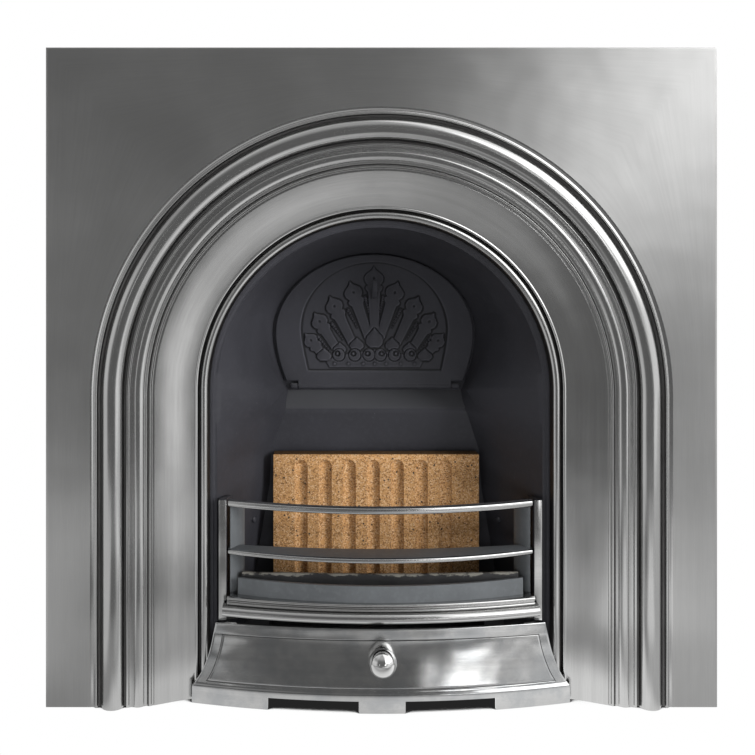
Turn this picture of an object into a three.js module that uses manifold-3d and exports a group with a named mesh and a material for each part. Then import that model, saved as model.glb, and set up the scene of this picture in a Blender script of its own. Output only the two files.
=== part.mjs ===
// A cast iron arched fireplace insert with its front bars, bottom grate, damper, fire brick,
// ash pan and ashpan cover. Millimetres, +Z up, the polished face looks along -Y.
// Depths (y) are measured from the front face of the plate until the last lines, which shift
// the whole fireplace so that the origin lies on the hearth under the middle of its box.

import * as THREE from 'three';
import { mergeVertices } from 'three/addons/utils/BufferGeometryUtils.js';
import Module from 'manifold-3d';

const wasm = await Module();
wasm.setup();

// ---------------------------------------------------------------- driving dimensions

const PLATE_WIDTH = 965;
const PLATE_HEIGHT = 948;
const PLATE_THICKNESS = 8;
const RIM_WIDTH = 7;
const RIM_BACK = 24;

const SPRING = 444; // height at which the outer mouldings turn from leg to arch
const STILT = 6; // the inner bead springs this much higher
const MOULDING_RADIUS = 416.3;
const BAND_OUTER_RADIUS = 327.6;
const BEAD_OUTER_RADIUS = 264.6;
const ARCH_STEPS = 28;

const LINER_RADIUS = 242;
const LINER_LIP_RADIUS = 247;
const LINER_FLANGE_RADIUS = 305;
const LINER_FRONT = 44.3;
const LINER_WALL = 7;
const LINER_BOLT_RADIUS = 285;
const LINER_BOLT_HEIGHTS = [90, 330];
const LINER_BOLT_ANGLES = [45, 135];

// The back of the firebox: height, half width and depth of each level up to the ledge's rear.
const BACK_LEVELS = [
  { z: 0, half: 219, depth: 182 },
  { z: 70, half: 207, depth: 182 },
  { z: 140, half: 195, depth: 182 },
  { z: 210, half: 183, depth: 182 },
  { z: 279, half: 171, depth: 182 },
  { z: 335, half: 168, depth: 182 },
  { z: 404, half: 143, depth: 165 },
  { z: 432, half: 143, depth: 205 },
];

const CHEEK_KNEE = 0.72; // how far back the cheek's section turns beside the ledge

const DAMPER_LEAN = THREE.MathUtils.degToRad(8);
const DAMPER_SEAT = { depth: 205, z: 432 };
const DAMPER_HALF_FOOT = 140;
const DAMPER_HALF_WIDTH = 165;
const DAMPER_WAIST = 94; // height of the widest place above the seat's foot
const DAMPER_CROWN = 132; // rise of the elliptical head above the waist
const DAMPER_THICKNESS = 9;
const DAMPER_CLEARANCE = 3.5;
const DAMPER_PIN_RADIUS = 2.5;
const DAMPER_PIN = { depth: -5.5, z: 6 }; // in the damper's own leaning frame
const DAMPER_BARREL_RADIUS = 4.5;
const LUG = { inner: 128, outer: 139, radius: 5 };
const PANEL = { foot: 31, halfFoot: 110, waist: 100, half: 122.6, crown: 113, sunk: 2.5 };

const BRICK = { width: 330, bottom: 116.3, top: 335, front: 150, back: 181 };
const FLUTE = { count: 7, pitch: 38.5, width: 15, deep: 5, top: 326 };

const SHELF_TOP = 116;
const SHELF_THICKNESS = 8;
const GRATE = { half: 204, bedHalf: 199, front: 37, back: 147, bottom: 116.3, thickness: 10, rimTop: 183 };
const GRATE_BOW = 10;
const GRATE_SLOTS = { count: 15, pitch: 26, width: 11, front: 56, back: 136 };

const BAR_ENDS = { half: 224, depth: 32 };
const BAR_BOW = 46;
const TOP_BAR = { bottom: 279.5, top: 289.5, deep: 10 };
const MIDDLE_BAR = { bottom: 209.5, top: 217.4, rearTop: 220.5, deep: 18, rearBow: 26 };
const BOW_STEPS = 16;

const POST = { inner: 226.5, outer: 237.5, front: 30, bottom: 114, top: 290 };
const POST_TAIL = { inner: 222, outer: 230.8, depth: 64 };
const POST_SCREW_HEIGHTS = [150, 262];
const POST_SCREW_DEPTH = 57.5;

const COVER_BOW_STEPS = 20;
const COVER_THICKNESS = 6;
// The cover's face from its top edge down: height, half width, depth at its ends and its middle.
const COVER_FACE = [
  { z: 112, half: 241.5, end: 27, middle: 0 },
  { z: 95, half: 245, end: 22.5, middle: -1 },
  { z: 80, half: 247.5, end: 19.5, middle: -2 },
  { z: 68, half: 250.5, end: 18, middle: -3.4 },
  { z: 45, half: 260, end: 17, middle: -6.8 },
  { z: 28, half: 271.5, end: 16.5, middle: -10.8 },
  { z: 26, half: 274, end: 14.8, middle: -12.3 },
  { z: 23, half: 274.5, end: 14.5, middle: -12.6 },
  { z: 0, half: 275, end: 14.5, middle: -12.6 },
];
const COVER_SLOT = { inner: 33, outer: 163, height: 17 };
const KNOB = { radius: 19, depth: -27, z: 74 };

const PAN = { half: 170, front: 48, back: 168, height: 72, wall: 2 };
const PAN_HANDLE = { half: 44, front: 24, bottom: 38, top: 52, strap: 4 };

const CLEAT = { z: 800, height: 40, outer: 470, inner: 404, thickness: 4, front: 14.3 };
const CLEAT_BOLT_X = 454;

const M8_RADIUS = 3.9;
const M8_HOLE_RADIUS = 4.4;
const M8_HEAD_RADIUS = 7.4;
const GAP = 0.3;

// ---------------------------------------------------------------- finishes

function finish(color, roughness, metalness) {
  return new THREE.MeshStandardMaterial({ color, roughness, metalness });
}

const POLISHED_IRON = finish(0xa9a9a8, 0.28, 1);
const BLACK_IRON = finish(0x2c2d30, 0.75, 0.2);
const GRAPHITE_IRON = finish(0x3a3b3c, 0.6, 0.5);
const SHEET_STEEL = finish(0x4a4b4d, 0.55, 0.7);
const ZINC_STEEL = finish(0x8f9193, 0.45, 0.9);
const FIRECLAY = finish(0xc9a06a, 0.95, 0);

// ---------------------------------------------------------------- shape helpers

const lerp = THREE.MathUtils.lerp;

function solid(geometry) {
  const bare = geometry.clone();
  bare.deleteAttribute('normal');
  bare.deleteAttribute('uv');
  const merged = mergeVertices(bare, 1e-4);
  return new wasm.Manifold(new wasm.Mesh({
    numProp: 3,
    vertProperties: Float32Array.from(merged.attributes.position.array),
    triVerts: Uint32Array.from(merged.index.array),
  }));
}

function geometryOf(body) {
  const mesh = body.getMesh();
  const geometry = new THREE.BufferGeometry();
  geometry.setAttribute('position', new THREE.BufferAttribute(mesh.vertProperties, 3));
  geometry.setIndex(new THREE.BufferAttribute(mesh.triVerts, 1));
  return geometry.toNonIndexed();
}

function joined(...geometries) {
  return geometryOf(geometries.map(solid).reduce((whole, next) => whole.add(next)));
}

function cut(geometry, ...cutters) {
  return geometryOf(cutters.map(solid).reduce((rest, next) => rest.subtract(next), solid(geometry)));
}

function flipIfInsideOut(positions, index) {
  const corner = (i) => new THREE.Vector3().fromArray(positions, 3 * index[i]);
  let volume = 0;
  for (let i = 0; i < index.length; i += 3) {
    volume += corner(i).dot(corner(i + 1).cross(corner(i + 2)));
  }
  return volume < 0 ? index.toReversed() : index;
}

// Skins a row of rings that all have the corners of the flat outline, and closes both ends.
function skin(rings, outline) {
  const count = outline.length;
  const positions = rings.flat().flatMap((point) => point.toArray());
  const index = [];
  for (let ring = 0; ring + 1 < rings.length; ring += 1) {
    for (let i = 0; i < count; i += 1) {
      const a = ring * count + i;
      const b = ring * count + ((i + 1) % count);
      index.push(a, b, b + count, a, b + count, a + count);
    }
  }
  const last = (rings.length - 1) * count;
  const clockwise = THREE.ShapeUtils.isClockWise(outline);
  for (const face of THREE.ShapeUtils.triangulateShape(outline, [])) {
    const turned = THREE.ShapeUtils.isClockWise(face.map((i) => outline[i])) === clockwise;
    const [a, b, c] = turned ? face : face.toReversed();
    index.push(a, c, b, last + a, last + b, last + c);
  }
  const geometry = new THREE.BufferGeometry();
  geometry.setAttribute('position', new THREE.Float32BufferAttribute(positions, 3));
  geometry.setIndex(flipIfInsideOut(positions, index));
  return geometry;
}

function outlineShape(points) {
  return new THREE.Shape(points.map(([x, y]) => new THREE.Vector2(x, y)));
}

function extruded(shape, depth) {
  return new THREE.ExtrudeGeometry(shape, { depth, bevelEnabled: false, curveSegments: 12 });
}

// A shape drawn in front view (x, z), between two depths.
function frontal(shape, front, back) {
  return extruded(shape, back - front).rotateX(Math.PI / 2).translate(0, back, 0);
}

// A shape drawn in plan (x, y), between two heights.
function upright(points, bottom, top) {
  return extruded(outlineShape(points), top - bottom).translate(0, 0, bottom);
}

function block(x0, x1, y0, y1, z0, z1) {
  return new THREE.BoxGeometry(x1 - x0, y1 - y0, z1 - z0)
    .translate((x0 + x1) / 2, (y0 + y1) / 2, (z0 + z1) / 2);
}

// A rod along Y (or along X) from one end to the other.
function rodAlongY(radius, x, z, front, back, sides = 12) {
  return new THREE.CylinderGeometry(radius, radius, back - front, sides)
    .translate(x, (front + back) / 2, z);
}

function rodAlongX(radius, y, z, left, right, sides = 12) {
  return new THREE.CylinderGeometry(radius, radius, right - left, sides)
    .rotateZ(Math.PI / 2)
    .translate((left + right) / 2, y, z);
}

// The two ends of a stretch that lies at near..far on the left (-1) or the right (1).
function endsOn(side, near, far) {
  return side < 0 ? [-far, -near] : [near, far];
}

// Points of a half-round or flatter roll between two places of a profile, crowned by its rise.
function roll(from, to, rise, steps) {
  const points = [];
  for (let i = 0; i <= steps; i += 1) {
    const angle = Math.PI * (i / steps);
    const along = (1 - Math.cos(angle)) / 2;
    points.push([lerp(from[0], to[0], along), lerp(from[1], to[1], along) - rise * Math.sin(angle)]);
  }
  return points;
}

// ---------------------------------------------------------------- arch sweeps

// Inner mouldings spring a little higher than the outer ones.
function springAt(radius) {
  const inward = (BAND_OUTER_RADIUS - radius) / (BAND_OUTER_RADIUS - BEAD_OUTER_RADIUS);
  return SPRING + STILT * THREE.MathUtils.clamp(inward, 0, 1);
}

function archPoint(radius, depth, angle) {
  return new THREE.Vector3(
    radius * Math.cos(angle),
    depth,
    springAt(radius) + radius * Math.sin(angle),
  );
}

// Sweeps a profile of [radius, depth] corners up one leg, over the arch and down the other leg.
function archSweep(profile) {
  const rings = [profile.map(([radius, depth]) => new THREE.Vector3(-radius, depth, 0))];
  for (let step = 0; step <= ARCH_STEPS; step += 1) {
    const angle = Math.PI * (1 - step / ARCH_STEPS);
    rings.push(profile.map(([radius, depth]) => archPoint(radius, depth, angle)));
  }
  rings.push(profile.map(([radius, depth]) => new THREE.Vector3(radius, depth, 0)));
  return skin(rings, profile.map(([radius, depth]) => new THREE.Vector2(radius, depth)));
}

// ---------------------------------------------------------------- fascia plate

function mouldingProfile() {
  const face = [
    [MOULDING_RADIUS + 2.7, 1],
    [MOULDING_RADIUS, 0],
    [414, 1.6],
    [411.8, 0.2],
    ...roll([411.6, -1], [408, -1], 2, 4),
    [407.6, 1.8],
    [404.4, 2.6],
    ...roll([401, 0.4], [371.5, 0.2], 12, 8),
    [370.8, 3],
    [367, 3],
    [366.4, -1.5],
    [363.5, -1.5],
    [362.5, 0.8],
    ...roll([355.5, 1.2], [341.8, 4], 4, 6),
    [337.3, 4.8],
    [336.6, 7],
    [335.4, 7],
    [334.9, 3.2],
    [332.2, 3.6],
    [331.4, 6.6],
    [328.8, 7.2],
    [BAND_OUTER_RADIUS, 5.8],
    [300, 17.6],
    [271, 28.2],
    [270.6, 27],
    [268.2, 27.8],
    [267.4, 33.5],
    [265.2, 34],
    ...roll([BEAD_OUTER_RADIUS, 32.5], [252.2, 34], 8, 6),
    [251.6, 36],
  ];
  const back = [
    [251.6, 44],
    [268, 42.5],
    [276, 37],
    [326, 15.5],
    [366, 11],
    [372, 8],
    [386, -2.5],
    [400, 8],
    [410, 10],
    [MOULDING_RADIUS + 2.7, 7.5],
  ];
  return [...face, ...back];
}

function archedPlateShape() {
  const half = PLATE_WIDTH / 2;
  const outline = [[-half, 0], [-half, PLATE_HEIGHT], [half, PLATE_HEIGHT], [half, 0]];
  outline.push([MOULDING_RADIUS, 0]);
  for (let step = 0; step <= ARCH_STEPS; step += 1) {
    const point = archPoint(MOULDING_RADIUS, 0, Math.PI * (step / ARCH_STEPS));
    outline.push([point.x, point.z]);
  }
  outline.push([-MOULDING_RADIUS, 0]);
  return outlineShape(outline);
}

function rimShape() {
  const half = PLATE_WIDTH / 2;
  const inside = half - RIM_WIDTH;
  return outlineShape([
    [-half, 0], [-half, PLATE_HEIGHT], [half, PLATE_HEIGHT], [half, 0],
    [inside, 0], [inside, PLATE_HEIGHT - RIM_WIDTH], [-inside, PLATE_HEIGHT - RIM_WIDTH], [-inside, 0],
  ]);
}

// Centres of the bolts that hold the firebox to the back of the mouldings, in front view.
function linerBoltPlaces() {
  const legs = LINER_BOLT_HEIGHTS.flatMap((z) => [[-LINER_BOLT_RADIUS, z], [LINER_BOLT_RADIUS, z]]);
  const arch = LINER_BOLT_ANGLES.map((degrees) => {
    const point = archPoint(LINER_BOLT_RADIUS, 0, THREE.MathUtils.degToRad(degrees));
    return [point.x, point.z];
  });
  return [...legs, ...arch];
}

function fasciaPlate() {
  const bosses = linerBoltPlaces().map(([x, z]) => rodAlongY(11, x, z, 29, 44, 16));
  const bossHoles = linerBoltPlaces().map(([x, z]) => rodAlongY(M8_HOLE_RADIUS, x, z, 31, 46));
  const cleatPlaces = [[-CLEAT_BOLT_X, CLEAT.z], [CLEAT_BOLT_X, CLEAT.z]];
  const cleatBosses = cleatPlaces.map(([x, z]) => rodAlongY(11, x, z, 6, CLEAT.front - GAP, 16));
  const cleatHoles = cleatPlaces.map(([x, z]) => rodAlongY(M8_HOLE_RADIUS, x, z, 3.5, 16));
  const casting = joined(
    frontal(archedPlateShape(), 0, PLATE_THICKNESS),
    frontal(rimShape(), 4, RIM_BACK),
    archSweep(mouldingProfile()),
    ...bosses,
    ...cleatBosses,
  );
  return cut(casting, ...bossHoles, ...cleatHoles);
}

// ---------------------------------------------------------------- firebox

// Half outline of the damper's seat in its own plane, from foot to crown: [half width, height].
function seatHalf(grow, steps) {
  const foot = DAMPER_HALF_FOOT + grow;
  const widest = DAMPER_HALF_WIDTH + grow;
  const points = [[foot, 0], [lerp(foot, widest, 0.62), DAMPER_WAIST * 0.45]];
  for (let i = 0; i <= steps; i += 1) {
    const angle = (Math.PI / 2) * (i / steps);
    points.push([widest * Math.cos(angle), DAMPER_WAIST + (DAMPER_CROWN + grow) * Math.sin(angle)]);
  }
  return points;
}

function seatPoint(side, [half, height], behind) {
  return new THREE.Vector3(
    side * half,
    DAMPER_SEAT.depth + height * Math.sin(DAMPER_LEAN) + behind,
    DAMPER_SEAT.z + height * Math.cos(DAMPER_LEAN),
  );
}

// One wall section: front edge at the arch, back edge at the firebox's back, each with its outside.
// Pinch draws the section in towards the back's width, so that it runs straight beside the ledge.
function wallRing(front, frontOut, back, backOut, pinch) {
  const middle = front.clone().lerp(back, CHEEK_KNEE);
  middle.x = lerp(middle.x, back.x, pinch);
  const middleOut = frontOut.clone().lerp(backOut, CHEEK_KNEE);
  middleOut.x = lerp(middleOut.x, backOut.x, pinch);
  return [front, middle, back, backOut, middleOut, frontOut];
}

const WALL_OUTLINE = [[0, 0], [1, 0], [2, 0], [2, 1], [1, 1], [0, 1]]
  .map(([x, y]) => new THREE.Vector2(x, y));
const SQUARE = [[0, 0], [1, 0], [1, 1], [0, 1]].map(([x, y]) => new THREE.Vector2(x, y));

function cheekAndHood() {
  const front = LINER_FRONT + 1.7;
  const bury = 4;
  const steps = 12;
  const firstAngle = 15; // the arch is this far round where the damper's seat is widest
  const half = (side) => {
    const rings = [];
    for (const { z, half: x, depth } of BACK_LEVELS.slice(0, -1)) {
      rings.push(wallRing(
        new THREE.Vector3(side * LINER_RADIUS, front, z),
        new THREE.Vector3(side * (LINER_RADIUS + LINER_WALL), front, z),
        new THREE.Vector3(side * x, depth + bury, z),
        new THREE.Vector3(side * (x + LINER_WALL), depth + bury, z),
        0,
      ));
    }
    const inner = seatHalf(DAMPER_CLEARANCE, steps);
    const outer = seatHalf(DAMPER_CLEARANCE + LINER_WALL, steps);
    inner.forEach((point, i) => {
      const turn = i < 2 ? (firstAngle / 2) * i : lerp(firstAngle, 90, (i - 2) / steps);
      const angle = THREE.MathUtils.degToRad(side < 0 ? 180 - turn : turn);
      rings.push(wallRing(
        archPoint(LINER_RADIUS, front, angle),
        archPoint(LINER_RADIUS + LINER_WALL, front, angle),
        seatPoint(side, point, bury),
        seatPoint(side, outer[i], bury),
        Math.max(0, 0.9 - 0.45 * i),
      ));
    });
    return rings;
  };
  const left = half(-1);
  const right = half(1).toReversed().slice(1);
  return skin([...left, ...right], WALL_OUTLINE);
}

function backWall() {
  const rings = BACK_LEVELS.map(({ z, half, depth }) => [
    new THREE.Vector3(-half - 3, depth, z),
    new THREE.Vector3(half + 3, depth, z),
    new THREE.Vector3(half + 3, depth + LINER_WALL + 1, z),
    new THREE.Vector3(-half - 3, depth + LINER_WALL + 1, z),
  ]);
  return skin(rings, SQUARE);
}

function seatShape(grow, foot) {
  const right = seatHalf(grow, 12).map(([x, z], i) => [x, i === 0 ? foot : z]);
  const left = right.slice(0, -1).toReversed().map(([x, z]) => [-x, z]);
  return outlineShape([...right, ...left]);
}

// Moves a shape from the damper's leaning frame to its place in the fireplace.
function leaning(geometry) {
  return geometry.rotateX(-DAMPER_LEAN).translate(0, DAMPER_SEAT.depth, DAMPER_SEAT.z);
}

function damperSeat() {
  const frame = seatShape(DAMPER_CLEARANCE + 4, -3);
  frame.holes.push(seatShape(-14, 14));
  return leaning(frontal(frame, 0, 8));
}

function cheekAt(depth, z) {
  const levels = BACK_LEVELS;
  const upper = levels.findIndex((level) => level.z > z);
  const share = (z - levels[upper - 1].z) / (levels[upper].z - levels[upper - 1].z);
  const back = lerp(levels[upper - 1].half, levels[upper].half, share);
  const front = LINER_FRONT + 1.7;
  return lerp(LINER_RADIUS, back, (depth - front) / (levels[0].depth + 4 - front));
}

// Cast ledges for the bottom grate, along both cheeks and across the back, where the brick stands.
function grateLedges() {
  const bury = 3;
  const sides = [-1, 1].map((side) => {
    const near = 66;
    const far = 170;
    return upright([
      [side * (cheekAt(near, SHELF_TOP) + bury), near],
      [side * (cheekAt(far, SHELF_TOP) + bury), far],
      [side * 186, far],
      [side * 200, near],
    ], SHELF_TOP - SHELF_THICKNESS, SHELF_TOP);
  });
  const across = block(-190, 190, 138, 185, SHELF_TOP - SHELF_THICKNESS, SHELF_TOP);
  return [...sides, across];
}

const CHEEK_BOLT = { depth: 147, z: 231 };
const CHEEK_TURN = Math.atan((LINER_RADIUS - 179) / 138);

// A shape drawn along X at the origin, set square on the cheek at the bolt's place.
function onCheek(geometry, side) {
  const x = cheekAt(CHEEK_BOLT.depth, CHEEK_BOLT.z);
  return geometry.rotateZ(side * CHEEK_TURN).translate(side * x, CHEEK_BOLT.depth, CHEEK_BOLT.z);
}

function fireboxCasting() {
  const flange = archSweep([
    [LINER_LIP_RADIUS, LINER_FRONT],
    [LINER_FLANGE_RADIUS, LINER_FRONT],
    [LINER_FLANGE_RADIUS, LINER_FRONT + LINER_WALL],
    [LINER_LIP_RADIUS, LINER_FRONT + LINER_WALL],
  ]);
  const casting = joined(flange, cheekAndHood(), backWall(), damperSeat(), ...grateLedges());
  const flangeHoles = linerBoltPlaces().map(([x, z]) => (
    rodAlongY(M8_HOLE_RADIUS, x, z, LINER_FRONT - 4, LINER_FRONT + LINER_WALL + 4)
  ));
  const cheekHoles = [-1, 1].map((side) => onCheek(rodAlongX(3.6, 0, 0, -15, 15), side));
  const postHoles = postScrewPlaces().map(([side, z]) => (
    rodAlongX(3.2, POST_SCREW_DEPTH, z, ...endsOn(side, 230, 260))
  ));
  const lugHoles = [-1, 1].map((side) => (
    leaning(rodAlongY(2.6, (side * (LUG.inner + LUG.outer)) / 2, DAMPER_PIN.z, -4, 14))
  ));
  return cut(casting, ...flangeHoles, ...cheekHoles, ...postHoles, ...lugHoles);
}

// A hexagon bolt with a round flange under its head, pointing to the front.
function flangeBolt(x, z, tip, seat) {
  return joined(
    rodAlongY(M8_RADIUS, x, z, tip, seat + 1, 8),
    rodAlongY(8.4, x, z, seat, seat + 1.6),
    rodAlongY(M8_HEAD_RADIUS, x, z, seat + 1, seat + 5.4, 6),
  );
}

function linerBolt([x, z]) {
  return flangeBolt(x, z, 33, LINER_FRONT + LINER_WALL + GAP);
}

function cheekBolt(side) {
  const head = new THREE.LatheGeometry([
    new THREE.Vector2(0, 0), new THREE.Vector2(5, 0), new THREE.Vector2(4.2, 1.8),
    new THREE.Vector2(2.4, 3), new THREE.Vector2(0, 3.4),
  ], 12).rotateZ((side * Math.PI) / 2).translate(-side * 1.8, 0, 0);
  const shank = rodAlongX(3.1, 0, 0, ...endsOn(side, -2.5, 17));
  return onCheek(joined(head, shank), side);
}

function cheekNut(side) {
  const nut = cut(rodAlongX(6.4, 0, 0, ...endsOn(side, 9.5, 14.5), 6), rodAlongX(3.5, 0, 0, -20, 20));
  return onCheek(nut, side);
}

// ---------------------------------------------------------------- fire brick

function fireBrick() {
  const half = BRICK.width / 2;
  const body = block(-half, half, BRICK.front, BRICK.back, BRICK.bottom, BRICK.top);
  const flutes = [];
  for (let i = 0; i < FLUTE.count; i += 1) {
    const x = (i - (FLUTE.count - 1) / 2) * FLUTE.pitch;
    const shape = new THREE.Shape();
    const r = FLUTE.width / 2;
    shape.moveTo(x - r, BRICK.bottom - 5);
    shape.lineTo(x + r, BRICK.bottom - 5);
    shape.lineTo(x + r, FLUTE.top - r);
    shape.absarc(x, FLUTE.top - r, r, 0, Math.PI, false);
    shape.closePath();
    flutes.push(frontal(shape, BRICK.front - 5, BRICK.front + FLUTE.deep));
  }
  return cut(body, ...flutes);
}

// ---------------------------------------------------------------- front bars and their posts

// Sweeps a profile across the hearth. Each corner has a height, its depth at the ends and its bow.
function bowedSweep(half, corners) {
  const rings = [];
  for (let step = 0; step <= BOW_STEPS; step += 1) {
    const u = (2 * step) / BOW_STEPS - 1;
    rings.push(corners.map(({ z, depth, bow }) => (
      new THREE.Vector3(u * half, depth - bow * (1 - u * u), z)
    )));
  }
  return skin(rings, corners.map(({ z, depth }) => new THREE.Vector2(depth, z)));
}

function bar({ bottom, top, rearTop = top, deep, rearBow = BAR_BOW }) {
  const front = BAR_ENDS.depth;
  const round = 1.6;
  return bowedSweep(BAR_ENDS.half, [
    { z: bottom, depth: front + round, bow: BAR_BOW },
    { z: bottom + round, depth: front, bow: BAR_BOW },
    { z: top - round, depth: front, bow: BAR_BOW },
    { z: top, depth: front + round, bow: BAR_BOW },
    { z: rearTop, depth: front + deep, bow: rearBow },
    { z: bottom, depth: front + deep, bow: rearBow },
  ]);
}

// The lower front: a plain painted band, two thin steps and a bold nosing along its foot.
function fret() {
  const bandBow = 38;
  const noseBow = 31;
  const band = bowedSweep(209, [
    { z: 177, depth: 27.2, bow: bandBow },
    { z: 149, depth: 26, bow: bandBow },
    { z: 149, depth: 33, bow: bandBow },
    { z: 177, depth: 33, bow: bandBow },
  ]);
  const steps = bowedSweep(BAR_ENDS.half, [
    { z: 153.5, depth: 18, bow: noseBow },
    { z: 151, depth: 14.5, bow: noseBow },
    { z: 148, depth: 14.5, bow: noseBow },
    { z: 147, depth: 17.5, bow: noseBow },
    { z: 143, depth: 18.5, bow: noseBow },
    { z: 139, depth: 17, bow: noseBow },
    { z: 128, depth: 20, bow: noseBow },
    { z: 128, depth: 36, bow: bandBow },
    { z: 153.5, depth: 32, bow: bandBow },
  ]);
  const nose = bowedSweep(230, [
    { z: 141, depth: 18, bow: noseBow },
    { z: 140, depth: 13, bow: noseBow },
    { z: 137, depth: 9.2, bow: noseBow },
    { z: 132.5, depth: 7.6, bow: noseBow },
    { z: 128, depth: 9.4, bow: noseBow },
    { z: 125.4, depth: 13, bow: noseBow },
    { z: 125, depth: 18, bow: noseBow },
    { z: 125, depth: 27.5, bow: noseBow },
    { z: 141, depth: 27.5, bow: noseBow },
  ]);
  return [band, steps, nose];
}

function frontBars() {
  const webs = [-1, 1].map((side) => upright([
    [side * 222, BAR_ENDS.depth + 4],
    [side * 208, BAR_ENDS.depth + 30],
    [side * 202, BAR_ENDS.depth + 29],
    [side * 213.5, BAR_ENDS.depth - 1],
  ], 130, TOP_BAR.bottom + 2));
  return joined(bar(TOP_BAR), bar(MIDDLE_BAR), ...fret(), ...webs);
}

function postScrewPlaces() {
  return POST_SCREW_HEIGHTS.flatMap((z) => [[-1, z], [1, z]]);
}

function barPost(side) {
  const stem = upright([
    [side * POST.inner, POST.front],
    [side * POST.outer, POST.front],
    [side * POST.outer, 44],
    [side * POST_TAIL.outer, POST_TAIL.depth],
    [side * POST_TAIL.inner, POST_TAIL.depth],
    [side * POST.inner, 44],
  ], POST.bottom, POST.top);
  const foot = upright([
    [side * 212, 34],
    [side * (POST.outer - 4), 34],
    [side * (POST.outer - 4), 56],
    [side * 212, 52],
  ], POST.bottom, 125 - GAP);
  const holes = POST_SCREW_HEIGHTS.map((z) => (
    rodAlongX(2.8, POST_SCREW_DEPTH, z, ...endsOn(side, 215, 245))
  ));
  return cut(joined(stem, foot), ...holes);
}

function postScrew([side, z]) {
  return joined(
    rodAlongX(2.5, POST_SCREW_DEPTH, z, ...endsOn(side, 224, 248), 8),
    rodAlongX(4.6, POST_SCREW_DEPTH, z, ...endsOn(side, 247, 250.5), 6),
  );
}

// ---------------------------------------------------------------- bottom grate

function bottomGrate() {
  const { half, bedHalf, front, back, bottom, thickness, rimTop } = GRATE;
  const bed = upright([
    [-bedHalf, front + 6], [0, front - GRATE_BOW + 6], [bedHalf, front + 6],
    [bedHalf, back], [-bedHalf, back],
  ], bottom, bottom + thickness);
  const rim = bowedSweep(half, [
    { z: bottom, depth: front, bow: GRATE_BOW },
    { z: bottom, depth: front + 8, bow: GRATE_BOW },
    { z: rimTop - 1.5, depth: front + 8, bow: GRATE_BOW },
    { z: rimTop, depth: front + 6, bow: GRATE_BOW },
    { z: rimTop, depth: front + 2, bow: GRATE_BOW },
    { z: rimTop - 1.5, depth: front, bow: GRATE_BOW },
  ]);
  const slots = [];
  for (let i = 0; i < GRATE_SLOTS.count; i += 1) {
    const x = (i - (GRATE_SLOTS.count - 1) / 2) * GRATE_SLOTS.pitch;
    const wide = GRATE_SLOTS.width / 2;
    slots.push(block(x - wide, x + wide, GRATE_SLOTS.front, GRATE_SLOTS.back, bottom - 5, bottom + 20));
  }
  return cut(joined(bed, rim), ...slots);
}

// ---------------------------------------------------------------- damper

function panelShape() {
  const points = [[PANEL.halfFoot, PANEL.foot]];
  const steps = 10;
  for (let i = 0; i <= steps; i += 1) {
    const angle = (Math.PI / 2) * (i / steps);
    points.push([PANEL.half * Math.cos(angle), PANEL.waist + PANEL.crown * Math.sin(angle)]);
  }
  const left = points.slice(0, -1).toReversed().map(([x, z]) => [-x, z]);
  return outlineShape([...points, ...left]);
}

// The fan of nine pointed leaves: half of the tips, from the middle one outwards.
const FAN_ROOT = { z: 38, spread: 0.42, lift: 26 };
const FAN_TIPS = [[0, 207], [41.8, 181], [75, 156.5], [101.5, 128], [115.5, 93]];

function leaf([x, z]) {
  const root = new THREE.Vector2(x * FAN_ROOT.spread, FAN_ROOT.z + FAN_ROOT.lift - Math.abs(x) * 0.12);
  const tip = new THREE.Vector2(x, z);
  const along = tip.clone().sub(root);
  const length = along.length();
  along.normalize();
  const across = new THREE.Vector2(-along.y, along.x);
  const at = (distance, half) => {
    const point = root.clone().addScaledVector(along, distance).addScaledVector(across, half);
    return [point.x, point.y];
  };
  const right = [[0, 4], [length - 30, 7], [length - 25, 11], [length - 14, 9.5], [length - 8, 4]];
  const left = right.toReversed().map(([distance, half]) => [distance, -half]);
  return outlineShape([...right, [length, 0], ...left].map(([distance, half]) => at(distance, half)));
}

function damperFlap() {
  const back = -GAP;
  const front = back - DAMPER_THICKNESS;
  const { z: pinZ, depth: pinDepth } = DAMPER_PIN;
  const plate = frontal(seatShape(0, pinZ), front, back);
  const barrel = rodAlongX(DAMPER_BARREL_RADIUS, pinDepth, pinZ, -126, 126, 16);
  const sunk = frontal(panelShape(), front - 2, front + PANEL.sunk);
  const notches = [-1, 1].map((side) => (
    block(...endsOn(side, 126.5, 150), front - 2, back + 2, -8, 15)
  ));
  const bores = [-1, 1].map((side) => (
    rodAlongX(DAMPER_PIN_RADIUS + 0.3, pinDepth, pinZ, ...endsOn(side, 106, 130))
  ));
  const mirrored = FAN_TIPS.slice(1).map(([x, z]) => [-x, z]);
  const leaves = [...FAN_TIPS, ...mirrored].map(leaf)
    .map((shape) => frontal(shape, front + 0.2, front + PANEL.sunk + 1));
  const base = frontal(outlineShape([[-86, 36], [86, 36], [78, 62], [-78, 62]]),
    front + 0.6, front + PANEL.sunk + 1);
  const casting = cut(joined(plate, barrel), sunk, ...notches);
  const handleHole = rodAlongY(3.4, 0, HANDLE.z, front - 5, back + 5);
  return leaning(cut(joined(casting, ...leaves, base), ...bores, handleHole));
}

const HANDLE = { z: 158, halfWidth: 4, reach: 26, length: 33 };

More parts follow.
